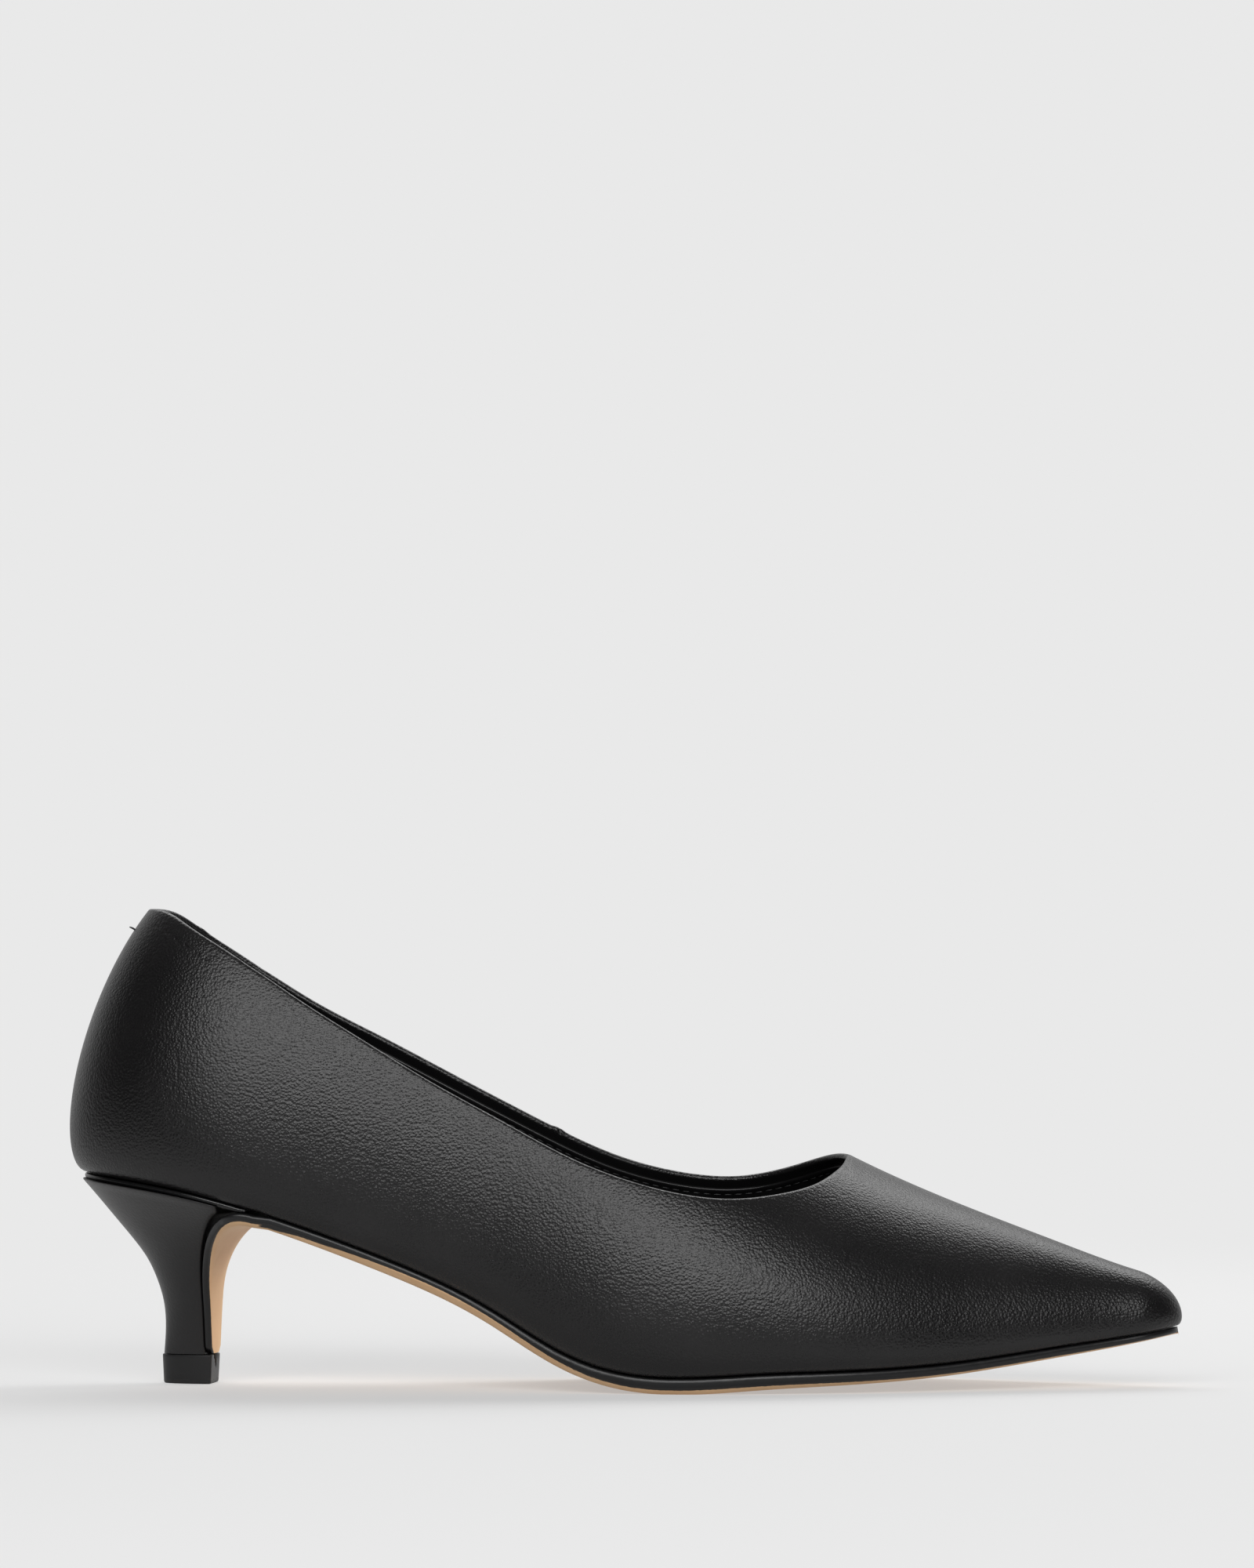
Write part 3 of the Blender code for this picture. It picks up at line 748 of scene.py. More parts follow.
class Draft:
    """Points, faces and stored numbers of one piece, in millimetres."""

    def __init__(self) -> None:
        """Start empty."""
        self.points: list[np.ndarray] = []
        self.faces: list[tuple[int, ...]] = []
        self.marks: dict[str, list[np.ndarray]] = {}
        self.count = 0

    def add_points(self, points: np.ndarray, **marks: Any) -> np.ndarray:
        """Add points with their stored numbers.

        Args:
            points: Array whose last axis holds X, Y and Z.
            marks: A number, or an array of them, for each name.

        Returns:
            The new points' numbers, in the shape of the array.
        """
        shape = points.shape[:-1]
        size = int(np.prod(shape))
        self.points.append(points.reshape(-1, 3))
        for name, value in marks.items():
            filled = np.broadcast_to(np.asarray(value, float), shape).reshape(-1)
            self.marks.setdefault(name, []).append(filled)
        index = np.arange(self.count, self.count + size).reshape(shape)
        self.count += size
        return index

    def add_faces(self, index: np.ndarray, wrap: bool = False, flip: bool = False) -> None:
        """Add the quads between neighbouring points of a grid.

        Args:
            index: Grid of point numbers.
            wrap: Whether each row closes on itself.
            flip: Whether to turn the faces over.
        """
        if wrap:
            index = np.concatenate([index, index[:, :1]], axis=1)
        quads = np.stack([index[:-1, :-1], index[:-1, 1:], index[1:, 1:], index[1:, :-1]], axis=-1)
        if flip:
            quads = quads[..., ::-1]
        self.faces.extend(map(tuple, quads.reshape(-1, 4).tolist()))

    def add_loft(self, rings: np.ndarray, **marks: Any) -> None:
        """Add a closed skin through rings of points, with both ends filled."""
        index = self.add_points(rings, **marks)
        self.add_faces(index, wrap=True)
        self.faces.append(tuple(index[0][::-1].tolist()))
        self.faces.append(tuple(index[-1].tolist()))

    def finish(self, name: str, look: bpy.types.Material, sharp_deg: float | None = None,
               merge_mm: float = 0.004) -> bpy.types.Object:
        """Make the object, with all its faces turned outwards.

        Args:
            name: The piece's name.
            look: Its material.
            sharp_deg: Edges sharper than this stay sharp; None keeps all smooth.
            merge_mm: Points closer than this become one.

        Returns:
            The linked object.
        """
        mesh = bpy.data.meshes.new(name)
        mesh.from_pydata((np.concatenate(self.points) * MM).tolist(), [], self.faces)
        for mark, values in self.marks.items():
            layer = mesh.attributes.new(mark, "FLOAT", "POINT")
            layer.data.foreach_set("value", np.concatenate(values).astype(np.float32))
        body = bmesh.new()
        body.from_mesh(mesh)
        bmesh.ops.remove_doubles(body, verts=body.verts, dist=merge_mm * MM)
        bmesh.ops.dissolve_degenerate(body, edges=body.edges, dist=merge_mm * MM / 4)
        bmesh.ops.recalc_face_normals(body, faces=body.faces)
        body.to_mesh(mesh)
        body.free()
        mesh.shade_smooth()
        if sharp_deg is not None:
            mesh.set_sharp_from_angle(angle=math.radians(sharp_deg))
        mesh.materials.append(look)
        return link(bpy.data.objects.new(name, mesh))


def dress(obj: bpy.types.Object, slot: str, *nodes: str) -> None:
    """Let a piece ride on the shoe and stand for its solids."""
    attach(obj, BODY)
    if nodes:
        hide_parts(*nodes)
    LOG.info("%s: %d faces", obj.name, len(obj.data.polygons))


@dataclass
class Collar:
    """The collar's edge as a closed loop, with the surface's directions at each point."""

    points: np.ndarray
    normals: np.ndarray
    up: np.ndarray


@dataclass
class Upper:
    """Leather upper with its turned collar edge, linings and stitches."""

    last: Last
    wall: float = 1.7
    foot_round: float = 0.5
    foot_steps: int = 4
    far_below: float = 60.0
    rows: int = 56
    heel_ribs: int = 36
    side_ribs: int = 96
    throat_ribs: int = 48
    vamp_ribs: int = 63
    toe_ribs: int = 18
    throat_share: float = 0.15
    throat_crowding: float = 2.2
    vamp_crowding: float = 1.1
    merge_mm: float = 0.02
    rib_samples: int = 400
    foot_crowding: float = 2.2
    row_crowding: float = 1.15
    lip_steps: int = 9
    shortest_rim: int = 20
    bumps: tuple[tuple[float, float, float], ...] = ((81.5, 1.1, 0.35), (0.6, 1.0, 0.22))
    lining_start: float = 1.9
    lining_rise: float = 0.55
    grip_front: float = 1.0
    grip_rise: float = 0.45
    grip_sunk: float = 0.4
    grip_rows: int = 60
    grip_foot: int = 4
    grip_top: int = 57
    grip_middle: float = 75.0
    seam_drop: float = 1.3
    seam_rise: float = 0.62
    stitch_pitch: float = 2.4
    stitch_length: float = 1.7
    thread: float = 0.32
    loose_round: float = 0.24

    # Drop below the lining's start in mm, share of its rise, and mm sunk into the wall.
    LINING_PROFILE = ((0.6, 0, 0.5), (0.05, 0, 0.25), (-0.12, 0, -0.05), (-0.08, 0.6, 0), (0.12, 0.92, 0),
                      (0.42, 1, 0), (0.8, 0.92, 0), (1.15, 0.62, 0), (1.5, 0.6, 0), (2.2, 0.66, 0),
                      (3.6, 0.55, 0), (5.5, 0.35, 0), (7.5, 0, 0), (8.2, 0, 0.4), (4.0, 0, 0.6))
    LOOSE_END = ((-12.3, 0.6, 101.8), (-12.9, 0.5, 102.3), (-13.4, 0.3, 102.7), (-14.0, 0.1, 102.8))

    def stations(self) -> list[Rib]:
        """Ribs from the back's middle to the toe's tip, closer together round the throat."""
        last = self.last
        throat = last.throat_x
        side_end = throat - self.throat_share * last.throat_place
        vamp = throat + (last.toe_pivot - throat) * np.linspace(0, 1, self.vamp_ribs) ** self.vamp_crowding
        return (last.heel_ribs(self.heel_ribs) + straight_ribs(last.heel_pivot, side_end, self.side_ribs)
                + straight_ribs(side_end, throat, self.throat_ribs, self.throat_crowding)
                + [(base, 0.0) for base in vamp] + last.toe_ribs(self.toe_ribs))

    def column(self, side: Side, rib: Rib, count: int, power: float = 1.0) -> np.ndarray:
        """Points up one rib, from the feather line to the collar."""
        angle = self.last.collar_angle(side, rib[0]) * np.linspace(0, 1, self.rib_samples) ** self.foot_crowding
        return even_rows(self.last.rib(side, rib, angle), count, power)

    def skin(self) -> bmesh.types.BMesh:
        """The leather's outer face as one surface, in millimetres."""
        draft = Draft()
        for side in Side:
            grid = np.array([self.column(side, rib, self.rows, self.row_crowding) for rib in self.stations()])
            draft.add_faces(draft.add_points(grid), flip=side is Side.OUTER)
        mesh = bpy.data.meshes.new("skin")
        mesh.from_pydata(np.concatenate(draft.points).tolist(), [], draft.faces)
        surface = bmesh.new()
        surface.from_mesh(mesh)
        bpy.data.meshes.remove(mesh)
        bmesh.ops.remove_doubles(surface, verts=surface.verts, dist=self.merge_mm)
        bmesh.ops.dissolve_degenerate(surface, edges=surface.edges, dist=self.merge_mm / 4)
        surface.normal_update()
        surface.verts.index_update()
        return surface

    def rims(self, surface: bmesh.types.BMesh) -> list[list[int]]:
        """Point numbers round each open rim, the collar first."""
        following: dict[int, int] = {}
        for edge in surface.edges:
            if edge.is_boundary:
                loop = edge.link_loops[0]
                following[loop.vert.index] = loop.link_loop_next.vert.index
        surface.verts.ensure_lookup_table()
        rims = []
        while following:
            start, place = following.popitem()
            rim = [start]
            while place != start:
                rim.append(place)
                place = following.pop(place)
            if len(rim) > self.shortest_rim:
                rims.append(rim)
        return sorted(rims, key=lambda rim: -max(surface.verts[i].co.z for i in rim))

    @staticmethod
    def edge_frame(points: np.ndarray, normals: np.ndarray) -> Collar:
        """Directions along a rim; up leads out of the surface past its edge."""
        along = unit(np.roll(points, -1, axis=0) - np.roll(points, 1, axis=0))
        normals = unit(smooth_loop(normals, 3))
        up = unit(np.cross(smooth_loop(along, 2), normals))
        return Collar(points, normals, up)

    def collar_bumps(self, collar: Collar) -> np.ndarray:
        """Rise of the edge where the side seam and the heel grip's edge run over it."""
        x, y = collar.points[:, 0], collar.points[:, 1]
        rise = np.zeros(len(x))
        for place, width, height in self.bumps:
            rise += height * np.exp(-((x - place) / width) ** 2) * (y > 0)
        return rise

    @staticmethod
    def roll(draft: Draft, edge: Collar, radius: float, turns: np.ndarray, below: float) -> list[np.ndarray]:
        """Rows of points that roll over an edge from the outer face inwards."""
        centre = edge.points - edge.normals * radius
        return [draft.add_points(centre + radius * (math.cos(turn) * edge.normals + math.sin(turn) * edge.up),
                                 inside=0.0, below=below) for turn in turns]

    def shell(self, look: bpy.types.Material) -> tuple[bpy.types.Object, Collar, BVHTree]:
        """Leather shell with a rolled collar edge.

        Args:
            look: Material of the shell.

        Returns:
            The shell, the collar's edge and the inner face to lay linings on.
        """
        surface = self.skin()
        points = np.array([vert.co for vert in surface.verts])
        normals = np.array([vert.normal for vert in surface.verts])
        top, foot = self.rims(surface)[:2]
        collar = self.edge_frame(points[top], normals[top])
        base = self.edge_frame(points[foot], normals[foot])
        faces = [tuple(vert.index for vert in face.verts) for face in surface.faces]
        surface.free()
        inside = points - normals * self.wall
        below = self.distance_below(points, collar)
        draft = Draft()
        outer = draft.add_points(points, inside=0.0, below=below)
        inner = draft.add_points(inside, inside=1.0, below=below)
        draft.faces += faces + [tuple(int(inner[i]) for i in face[::-1]) for face in faces]
        lifted = collar.points + collar.up * self.collar_bumps(collar)[:, None]
        raised = Collar(lifted, collar.normals, collar.up)
        lip = self.roll(draft, raised, self.wall / 2, np.linspace(0, math.pi, self.lip_steps + 1)[1:-1], 0.0)
        draft.add_faces(np.array([outer[top], *lip, inner[top]]), wrap=True, flip=True)
        turns = np.linspace(0, math.pi / 2, self.foot_steps + 1)[1:]
        edge = self.roll(draft, base, self.foot_round, turns, self.far_below)
        draft.add_faces(np.array([outer[foot], *edge, inner[foot]]), wrap=True, flip=True)
        tree = BVHTree.FromPolygons([Vector(point) for point in inside], [face[::-1] for face in faces])
        return draft.finish("upper_leather", look, merge_mm=0.002), collar, tree

    @staticmethod
    def distance_below(points: np.ndarray, collar: Collar) -> np.ndarray:
        """Distance of each point from the collar's edge."""
        tree = KDTree(len(collar.points))
        for i, point in enumerate(collar.points):
            tree.insert(point, i)
        tree.balance()
        return np.array([tree.find(point)[2] for point in points])

    @staticmethod
    def resampled(collar: Collar, pitch: float) -> Collar:
        """The collar with evenly spaced points."""
        closed = np.concatenate([collar.points, collar.points[:1]])
        length = np.concatenate([[0], np.cumsum(np.linalg.norm(np.diff(closed, axis=0), axis=1))])
        places = np.linspace(0, length[-1], int(length[-1] / pitch), endpoint=False)

        def spread(values: np.ndarray) -> np.ndarray:
            """Values at the even places."""
            closed_values = np.concatenate([values, values[:1]])
            return np.stack([np.interp(places, length, closed_values[:, i]) for i in range(3)], axis=1)

        return Collar(spread(collar.points), unit(spread(collar.normals)), unit(spread(collar.up)))

    def on_inside(self, collar: Collar, tree: BVHTree, drop: float, rise: float) -> np.ndarray:
        """Loop on the inner face, a distance below the collar and risen off the wall.

        Args:
            collar: The collar's edge.
            tree: The inner face.
            drop: Distance below the edge.
            rise: Distance off the wall, inwards.

        Returns:
            One point for each point of the collar.
        """
        loop = collar.points - collar.normals * self.wall - collar.up * drop
        for i, outward in enumerate(collar.normals):
            place, normal, _, _ = tree.find_nearest(Vector(loop[i]))
            inward = np.array(normal)
            if inward @ outward > 0:
                inward = -inward
            loop[i] = np.array(place) + inward * rise
        return smooth_loop(loop, 3)

    def lining_edge(self, collar: Collar, tree: BVHTree, look: bpy.types.Material) -> bpy.types.Object:
        """Top of the lining, turned under and sewn just below the collar's edge."""
        loops = [self.on_inside(collar, tree, self.lining_start + drop, self.lining_rise * share - sunk)
                 for drop, share, sunk in self.LINING_PROFILE]
        draft = Draft()
        draft.add_faces(draft.add_points(np.array([*loops, loops[0]])), wrap=True)
        return draft.finish("lining_edge", look)

    def heel_grip(self, look: bpy.types.Material) -> bpy.types.Object:
        """Thin lining piece round the inside of the heel."""
        last = self.last
        ribs = [rib for rib in last.heel_ribs(24) if rib[0] < self.grip_front]
        path = [(Side.OUTER, rib) for rib in ribs[:0:-1]] + [(Side.INNER, rib) for rib in ribs]
        columns = np.array([self.column(side, rib, self.grip_rows) for side, rib in path])
        grid = columns[:, self.grip_foot:self.grip_top]
        normal = unit(np.cross(np.gradient(grid, axis=0), np.gradient(grid, axis=1)))
        middle = np.array([last.heel_pivot, 0.0, self.grip_middle])
        normal *= np.sign(np.sum(normal * (grid - middle), axis=-1, keepdims=True))
        wide, tall = grid.shape[:2]
        from_side = np.minimum(np.arange(wide), np.arange(wide)[::-1])[:, None]
        from_edge = np.minimum(from_side, np.arange(tall)[::-1][None, :])
        rise = self.grip_rise * np.sqrt(np.clip(from_edge / 2.0, 0.0, 1.0))
        draft = Draft()
        under = draft.add_points(grid - normal * (self.wall - self.grip_sunk))
        over = draft.add_points(grid - normal * (self.wall + rise)[..., None])
        draft.add_faces(under)
        draft.add_faces(over, flip=True)
        for pair in ((under[0], over[0]), (over[-1], under[-1]), (over[:, 0], under[:, 0]),
                     (under[:, -1], over[:, -1])):
            draft.add_faces(np.array(pair))
        return draft.finish("heel_grip", look)

    def back_thread(self, look: bpy.types.Material) -> bpy.types.Object:
        """Short loose end of the back seam's thread."""
        points = np.array(interpolate_bezier(*self.LOOSE_END, 10))
        along = unit(np.gradient(points, axis=0))
        side = unit(np.cross(along, (0.0, 0.0, 1.0)))
        over = np.cross(side, along)
        size = self.loose_round * (1 - 0.5 * np.linspace(0, 1, len(points)) ** 3)
        turn = np.linspace(0, 2 * math.pi, 8, endpoint=False)[:, None]
        draft = Draft()
        rings = [size[i] * (np.cos(turn) * side[i] + np.sin(turn) * over[i]) for i in range(len(points))]
        draft.add_loft(points[:, None] + np.array(rings))
        return draft.finish("loose_thread", look)

    def build(self) -> None:
        """Make and dress all of the upper's pieces."""
        lining = LiningLeather("lining_leather").make()
        grip = LiningLeather("grip_leather", (0.012, 0.0118, 0.0122), 0.5).make()
        thread = SewingThread().make()
        shell, collar, inner_face = self.shell(UpperLeather(PebbledLeather("upper_leather")).make())
        dress(shell, "upper_leather", "upper")
        even = self.resampled(collar, 1.0)
        dress(self.lining_edge(even, inner_face, lining), "sock_leather")
        dress(self.heel_grip(grip), "sock_leather")
        seam = self.on_inside(even, inner_face, self.lining_start + self.seam_drop,
                              self.lining_rise * self.seam_rise)
        row = StitchRow(self.stitch_pitch, self.stitch_length, self.thread, thread)
        dress(row.sew("lining_stitches", seam), "sock_leather")
        dress(self.back_thread(thread), "upper_leather")


@dataclass
class StitchRow:
    """A row of stitches along a path, laid by Geometry Nodes."""

    pitch: float
    length: float
    thread: float
    look: bpy.types.Material

    def tree(self) -> bpy.types.NodeTree:
        """Node tree that puts one stitch at every pitch of a curve."""
        tree = bpy.data.node_groups.new("stitch_row", "GeometryNodeTree")
        face = tree.interface
        face.new_socket("Path", in_out="INPUT", socket_type="NodeSocketGeometry")
        for name in ("Pitch", "Length", "Thread"):
            face.new_socket(name, in_out="INPUT", socket_type="NodeSocketFloat")
        face.new_socket("Material", in_out="INPUT", socket_type="NodeSocketMaterial")
        face.new_socket("Stitches", in_out="OUTPUT", socket_type="NodeSocketGeometry")
        graph = Graph(tree)
        given = graph.node("NodeGroupInput").outputs
        spots = graph.node("GeometryNodeResampleCurve", {"mode": "LENGTH"},
                           {"Curve": given["Path"], "Length": given["Pitch"]})
        tangent = graph.node("GeometryNodeInputTangent").outputs[0]
        turn = graph.node("FunctionNodeAlignRotationToVector", {"axis": "Z"}, {"Vector": tangent})
        bead = graph.node("GeometryNodeMeshUVSphere", None, {"Segments": 6, "Rings": 6, "Radius": 0.5})
        size = graph.node("ShaderNodeCombineXYZ", None,
                          {0: given["Thread"], 1: given["Thread"], 2: given["Length"]})
        laid = graph.node("GeometryNodeInstanceOnPoints", None, {
            "Points": spots.outputs[0], "Instance": bead.outputs["Mesh"],
            "Rotation": turn.outputs[0], "Scale": size.outputs[0]})
        real = graph.node("GeometryNodeRealizeInstances", None, {0: laid.outputs[0]})
        smooth = graph.node("GeometryNodeSetShadeSmooth", None, {0: real.outputs[0]})
        dressed = graph.node("GeometryNodeSetMaterial", None,
                             {"Geometry": smooth.outputs[0], "Material": given["Material"]})
        graph.node("NodeGroupOutput", None, {0: dressed.outputs[0]})
        return tree

    def sew(self, name: str, path: np.ndarray) -> bpy.types.Object:
        """Lay the stitches along a closed path.

        Args:
            name: Name of the new piece.
            path: Points in millimetres.

        Returns:
            The stitches as one plain mesh.
        """
        curve = bpy.data.curves.new(name + "_path", "CURVE")
        curve.dimensions = "3D"
        spline = curve.splines.new("POLY")
        spline.points.add(len(path) - 1)
        spline.points.foreach_set("co", np.column_stack([path * MM, np.ones(len(path))]).ravel())
        spline.use_cyclic_u = True
        carrier = link(bpy.data.objects.new(name + "_path", curve))
        sewing = carrier.modifiers.new("stitches", "NODES")
        sewing.node_group = self.tree()
        values = {"Pitch": self.pitch * MM, "Length": self.length * MM, "Thread": self.thread * MM,
                  "Material": self.look}
        for item in sewing.node_group.interface.items_tree:
            if item.item_type == "SOCKET" and item.in_out == "INPUT" and item.name in values:
                sewing[item.identifier] = values[item.name]
        ready = carrier.evaluated_get(bpy.context.evaluated_depsgraph_get())
        mesh = bpy.data.meshes.new_from_object(ready)
        mesh.name = name
        carrier.modifiers.remove(sewing)
        bpy.data.objects.remove(carrier)
        return link(bpy.data.objects.new(name, mesh))


@dataclass
class HeelAxes:
    """Places on the heel, whose axis turns a little to the outer side."""

    last: Last
    yaw: float = math.radians(5.5)
    heel_lip: float = 0.8
    front: float = 10.5
    breast_top: float = 19.0
    breast_bend: float = 21.0
    breast_foot: float = 4.2
    breast_reach: float = 0.6
    breast_drop: float = 0.7
    tip_height: float = 6.6
    tip_width: float = 10.4
    tip_back: float = 6.5
    seat_thick: float = 1.1
    gap: float = 0.3
    levels: Spline = field(default_factory=lambda: table_spline(HEEL_LEVELS))

    def point(self, along: float, across: float, height: float) -> np.ndarray:
        """Point in the heel's own turned axes."""
        return np.array([along * math.cos(self.yaw) + across * math.sin(self.yaw),
                         across * math.cos(self.yaw) - along * math.sin(self.yaw), height])

    def size(self, rise: float) -> tuple[float, float]:
        """Back and half width of the heel's outline at a share of its height."""
        seat_back = self.last.heel_overhang + self.heel_lip
        middle = self.last.section(self.front)
        seat_half = (middle[Side.OUTER][0] + middle[Side.INNER][0]) / 2 + self.heel_lip
        back_share, half_share = self.levels.at(rise)[0]
        return (self.tip_back + (seat_back - self.tip_back) * back_share,
                self.tip_width / 2 + (seat_half - self.tip_width / 2) * half_share)

    def breast_path(self, count: int) -> np.ndarray:
        """Line on which sole and heel meet, as (along, height) from the arch down to the lift."""
        top = float(self.last.feather_height(self.breast_top)[0]) - self.gap
        slope = self.last.feather_slope(self.breast_top)
        reach = self.breast_reach * (self.breast_top - self.breast_foot)
        drop = self.breast_drop * (top - self.breast_bend)
        curve = interpolate_bezier(
            (self.breast_top, top, 0), (self.breast_top - reach, top - reach * slope, 0),
            (self.breast_foot, self.breast_bend + drop, 0), (self.breast_foot, self.breast_bend, 0), count)
        foot = self.tip_height + self.gap
        straight = [(self.breast_foot, height) for height in np.linspace(self.breast_bend, foot, 11)[1:]]
        return np.array([(point.x, point.y) for point in curve] + straight)

    def seat_bottom(self, x: Any) -> Any:
        """Underside of the heel seat."""
        path = self.breast_path(60)
        order = np.argsort(path[:, 0], kind="stable")
        over_sole = np.interp(x, path[order, 0], path[order, 1]) + self.gap
        return np.maximum(self.last.feather_height(x) - self.gap - self.seat_thick, over_sole)


@dataclass
class Bottom:
    """Sole with its painted edge and breast flap, heel seat band and sock."""

    last: Last
    heel: HeelAxes
    sole_edge: float = 1.8
    sole_lip: float = 0.6
    sole_bevel: float = 1.6
    sole_belly: float = 2.4
    flap_edge: float = 1.5
    flap_round: float = 1.7
    seat_front: float = 14.5
    seat_lip: float = 0.2
    seat_round: float = 0.4
    seat_sunk: float = 0.1
    flap_belly: float = 0.15
    blunt_tip: float = 0.9995
    insole_thick: float = 2.3
    sock_gap: float = 0.1
    sock_foot: float = 0.1
    sock_dip: float = 0.7
    sock_cove: float = 0.9
    wall: float = 1.7
    bevel_in: float = 0.75
    bevel_edge: float = 1.04
    bevel_belly: float = 0.24
    rim_belly: float = 0.55
    paint_limit: float = 1.2
    paint_fade: float = 4.0
    bevel_depth: float = 1.35
    shares: Spline = field(default_factory=lambda: table_spline(SOLE_SECTIONS))

    # Outwards in mm and share of the edge's height, from the top down.
    EDGE_PROFILE = ((-1.6, 0.0), (-0.5, 0.0), (-0.22, 0.06), (-0.04, 0.2), (0.04, 0.4), (0.05, 0.6),
                    (0.0, 0.8), (-0.12, 0.94), (-0.34, 1.03))
    UNDERSIDE = np.linspace(-1, 1, 17)[1:-1]

    def ring(self, tops: list[np.ndarray], down: np.ndarray, edge: float, belly: float,
             limit: float) -> tuple[list, list]:
        """One closed section of the sole.

        Args:
            tops: Outermost point of the edge's top on each side.
            down: Direction through the sole's thickness.
            edge: Height of the black edge.
            belly: How far the underside's middle hangs below it.
            limit: How deep the paint reaches, as a share of the edge's height.

        Returns:
            The section's points, and the share of paint on each.
        """
        across = unit(tops[1] - tops[0])
        halves = []
        for top, out in zip(tops, (-across, across)):
            half = [top + out * outwards + down * edge * share for outwards, share in self.EDGE_PROFILE]
            half.append(top - out * self.bevel_in + down * (edge * self.bevel_edge + belly * self.bevel_belly))
            half.append(top - out * self.sole_bevel + down * (edge + belly * self.rim_belly))
            halves.append(half)
        start, end = halves[0][-1], halves[1][-1]
        hang = down * belly * (1 - self.rim_belly)
        middle = [start + (end - start) * (share + 1) / 2 + hang * (1 - share ** 2) for share in self.UNDERSIDE]
        points = halves[0] + middle + halves[1][::-1]
        for point in points:
            point[2] = max(point[2], 0.0)
        depths = np.array([share for _, share in self.EDGE_PROFILE] + [self.bevel_depth])
        paint = [*np.clip(0.5 + (limit - depths) * self.paint_fade, 0.0, 1.0), 0.0]
        return points, paint + [0.0] * len(middle) + paint[::-1]

    def walk(self) -> list[tuple[list, list]]:
        """Sections of the sole from the toe's tip back to the heel's front face."""
        last, start = self.last, self.heel.breast_top
        straight = [(base, 0.0) for base in np.linspace(start, last.toe_pivot, 151)[1:]]
        rings = []
        for rib in (straight + last.toe_ribs(16)[:-1] + [(last.toe_pivot, self.blunt_tip)])[::-1]:
            station = last.station(rib[0])
            edge, belly, lip = self.shares.at(station)[0]
            slope = last.feather_slope(rib[0])
            down = np.array([slope, 0, -1]) / math.hypot(slope, 1)
            tops = [last.feather_edge(side, rib, self.sole_lip * lip) - (0, 0, self.heel.gap) for side in Side]
            limit = float(np.interp(station, *np.array(PAINT_LIMITS).T))
            rings.append(self.ring(tops, down, self.sole_edge * edge, self.sole_belly * belly, limit))
        return rings

    def flap(self) -> list[tuple[list, list]]:
        """Sections of the breast flap, from the arch down the heel's front face."""
        last, heel = self.last, self.heel
        path = heel.breast_path(50)
        seat_z = float(heel.seat_bottom(heel.front)[0]) - heel.gap
        outer, inner = (last.feather_edge(side, (heel.breast_top, 0.0), self.sole_lip)[1] for side in Side)
        rings = []
        for (along, height), (run, fall) in zip(path, unit(np.gradient(path, axis=0))):
            rise = min(1.0, (height - heel.tip_height) / (seat_z - heel.tip_height))
            half = heel.size(rise)[1]
            blend = float(np.clip((along - heel.front) / (heel.breast_top - heel.front), 0.0, 1.0))
            half += ((inner - outer) / 2 - half) * blend
            half -= self.flap_round * max(0.0, 1 - (height - path[-1][1]) / self.flap_round) ** 2
            down = heel.point(-fall, 0, 0) + (0, 0, run)
            tops = [heel.point(along, side.value * half, height) for side in Side]
            belly = self.sole_belly * (self.flap_belly + (1 - self.flap_belly) * max(0.0, rise) ** 2)
            rings.append(self.ring(tops, down, self.flap_edge, belly, self.paint_limit))
        return rings

    def sole(self, look: bpy.types.Material) -> bpy.types.Object:
        """Sole from the toe through the arch and down the heel's front face."""
        points, paint = zip(*self.walk(), *self.flap())
        draft = Draft()
        draft.add_loft(np.array(points), paint=np.array(paint))
        return draft.finish("sole", look, sharp_deg=60)

    def seat_band(self, look: bpy.types.Material) -> bpy.types.Object:
        """Glossy black seat band between upper and heel."""
        last, heel = self.last, self.heel
        ribs = [rib for rib in last.heel_ribs(40) if rib[0] < self.seat_front] + [(self.seat_front, 0.0)]
        path = [(Side.OUTER, rib) for rib in ribs[::-1]] + [(Side.INNER, rib) for rib in ribs[1:]]
        loops = []
        for share in np.linspace(0, 1, 8):
            roll = math.sqrt(max(0.0, 1 - (2 * share - 1) ** 2)) - 1
            loop = []
            for side, rib in path:
                x, y, feather = last.feather_edge(side, rib, self.seat_lip + self.seat_round * roll)
                top = feather - heel.gap
                low = float(heel.seat_bottom(x)[0]) - self.seat_sunk
                loop.append([x, y, top + (low - top) * share])
            loops.append(loop)
        draft = Draft()
        index = draft.add_points(np.array(loops))
        draft.add_faces(index)
        draft.faces += [tuple(index[0].tolist()), tuple(index[-1][::-1].tolist())]
        draft.add_faces(np.array([index[:, -1], index[:, 0]]))
        return draft.finish("seat_band", look, sharp_deg=50)

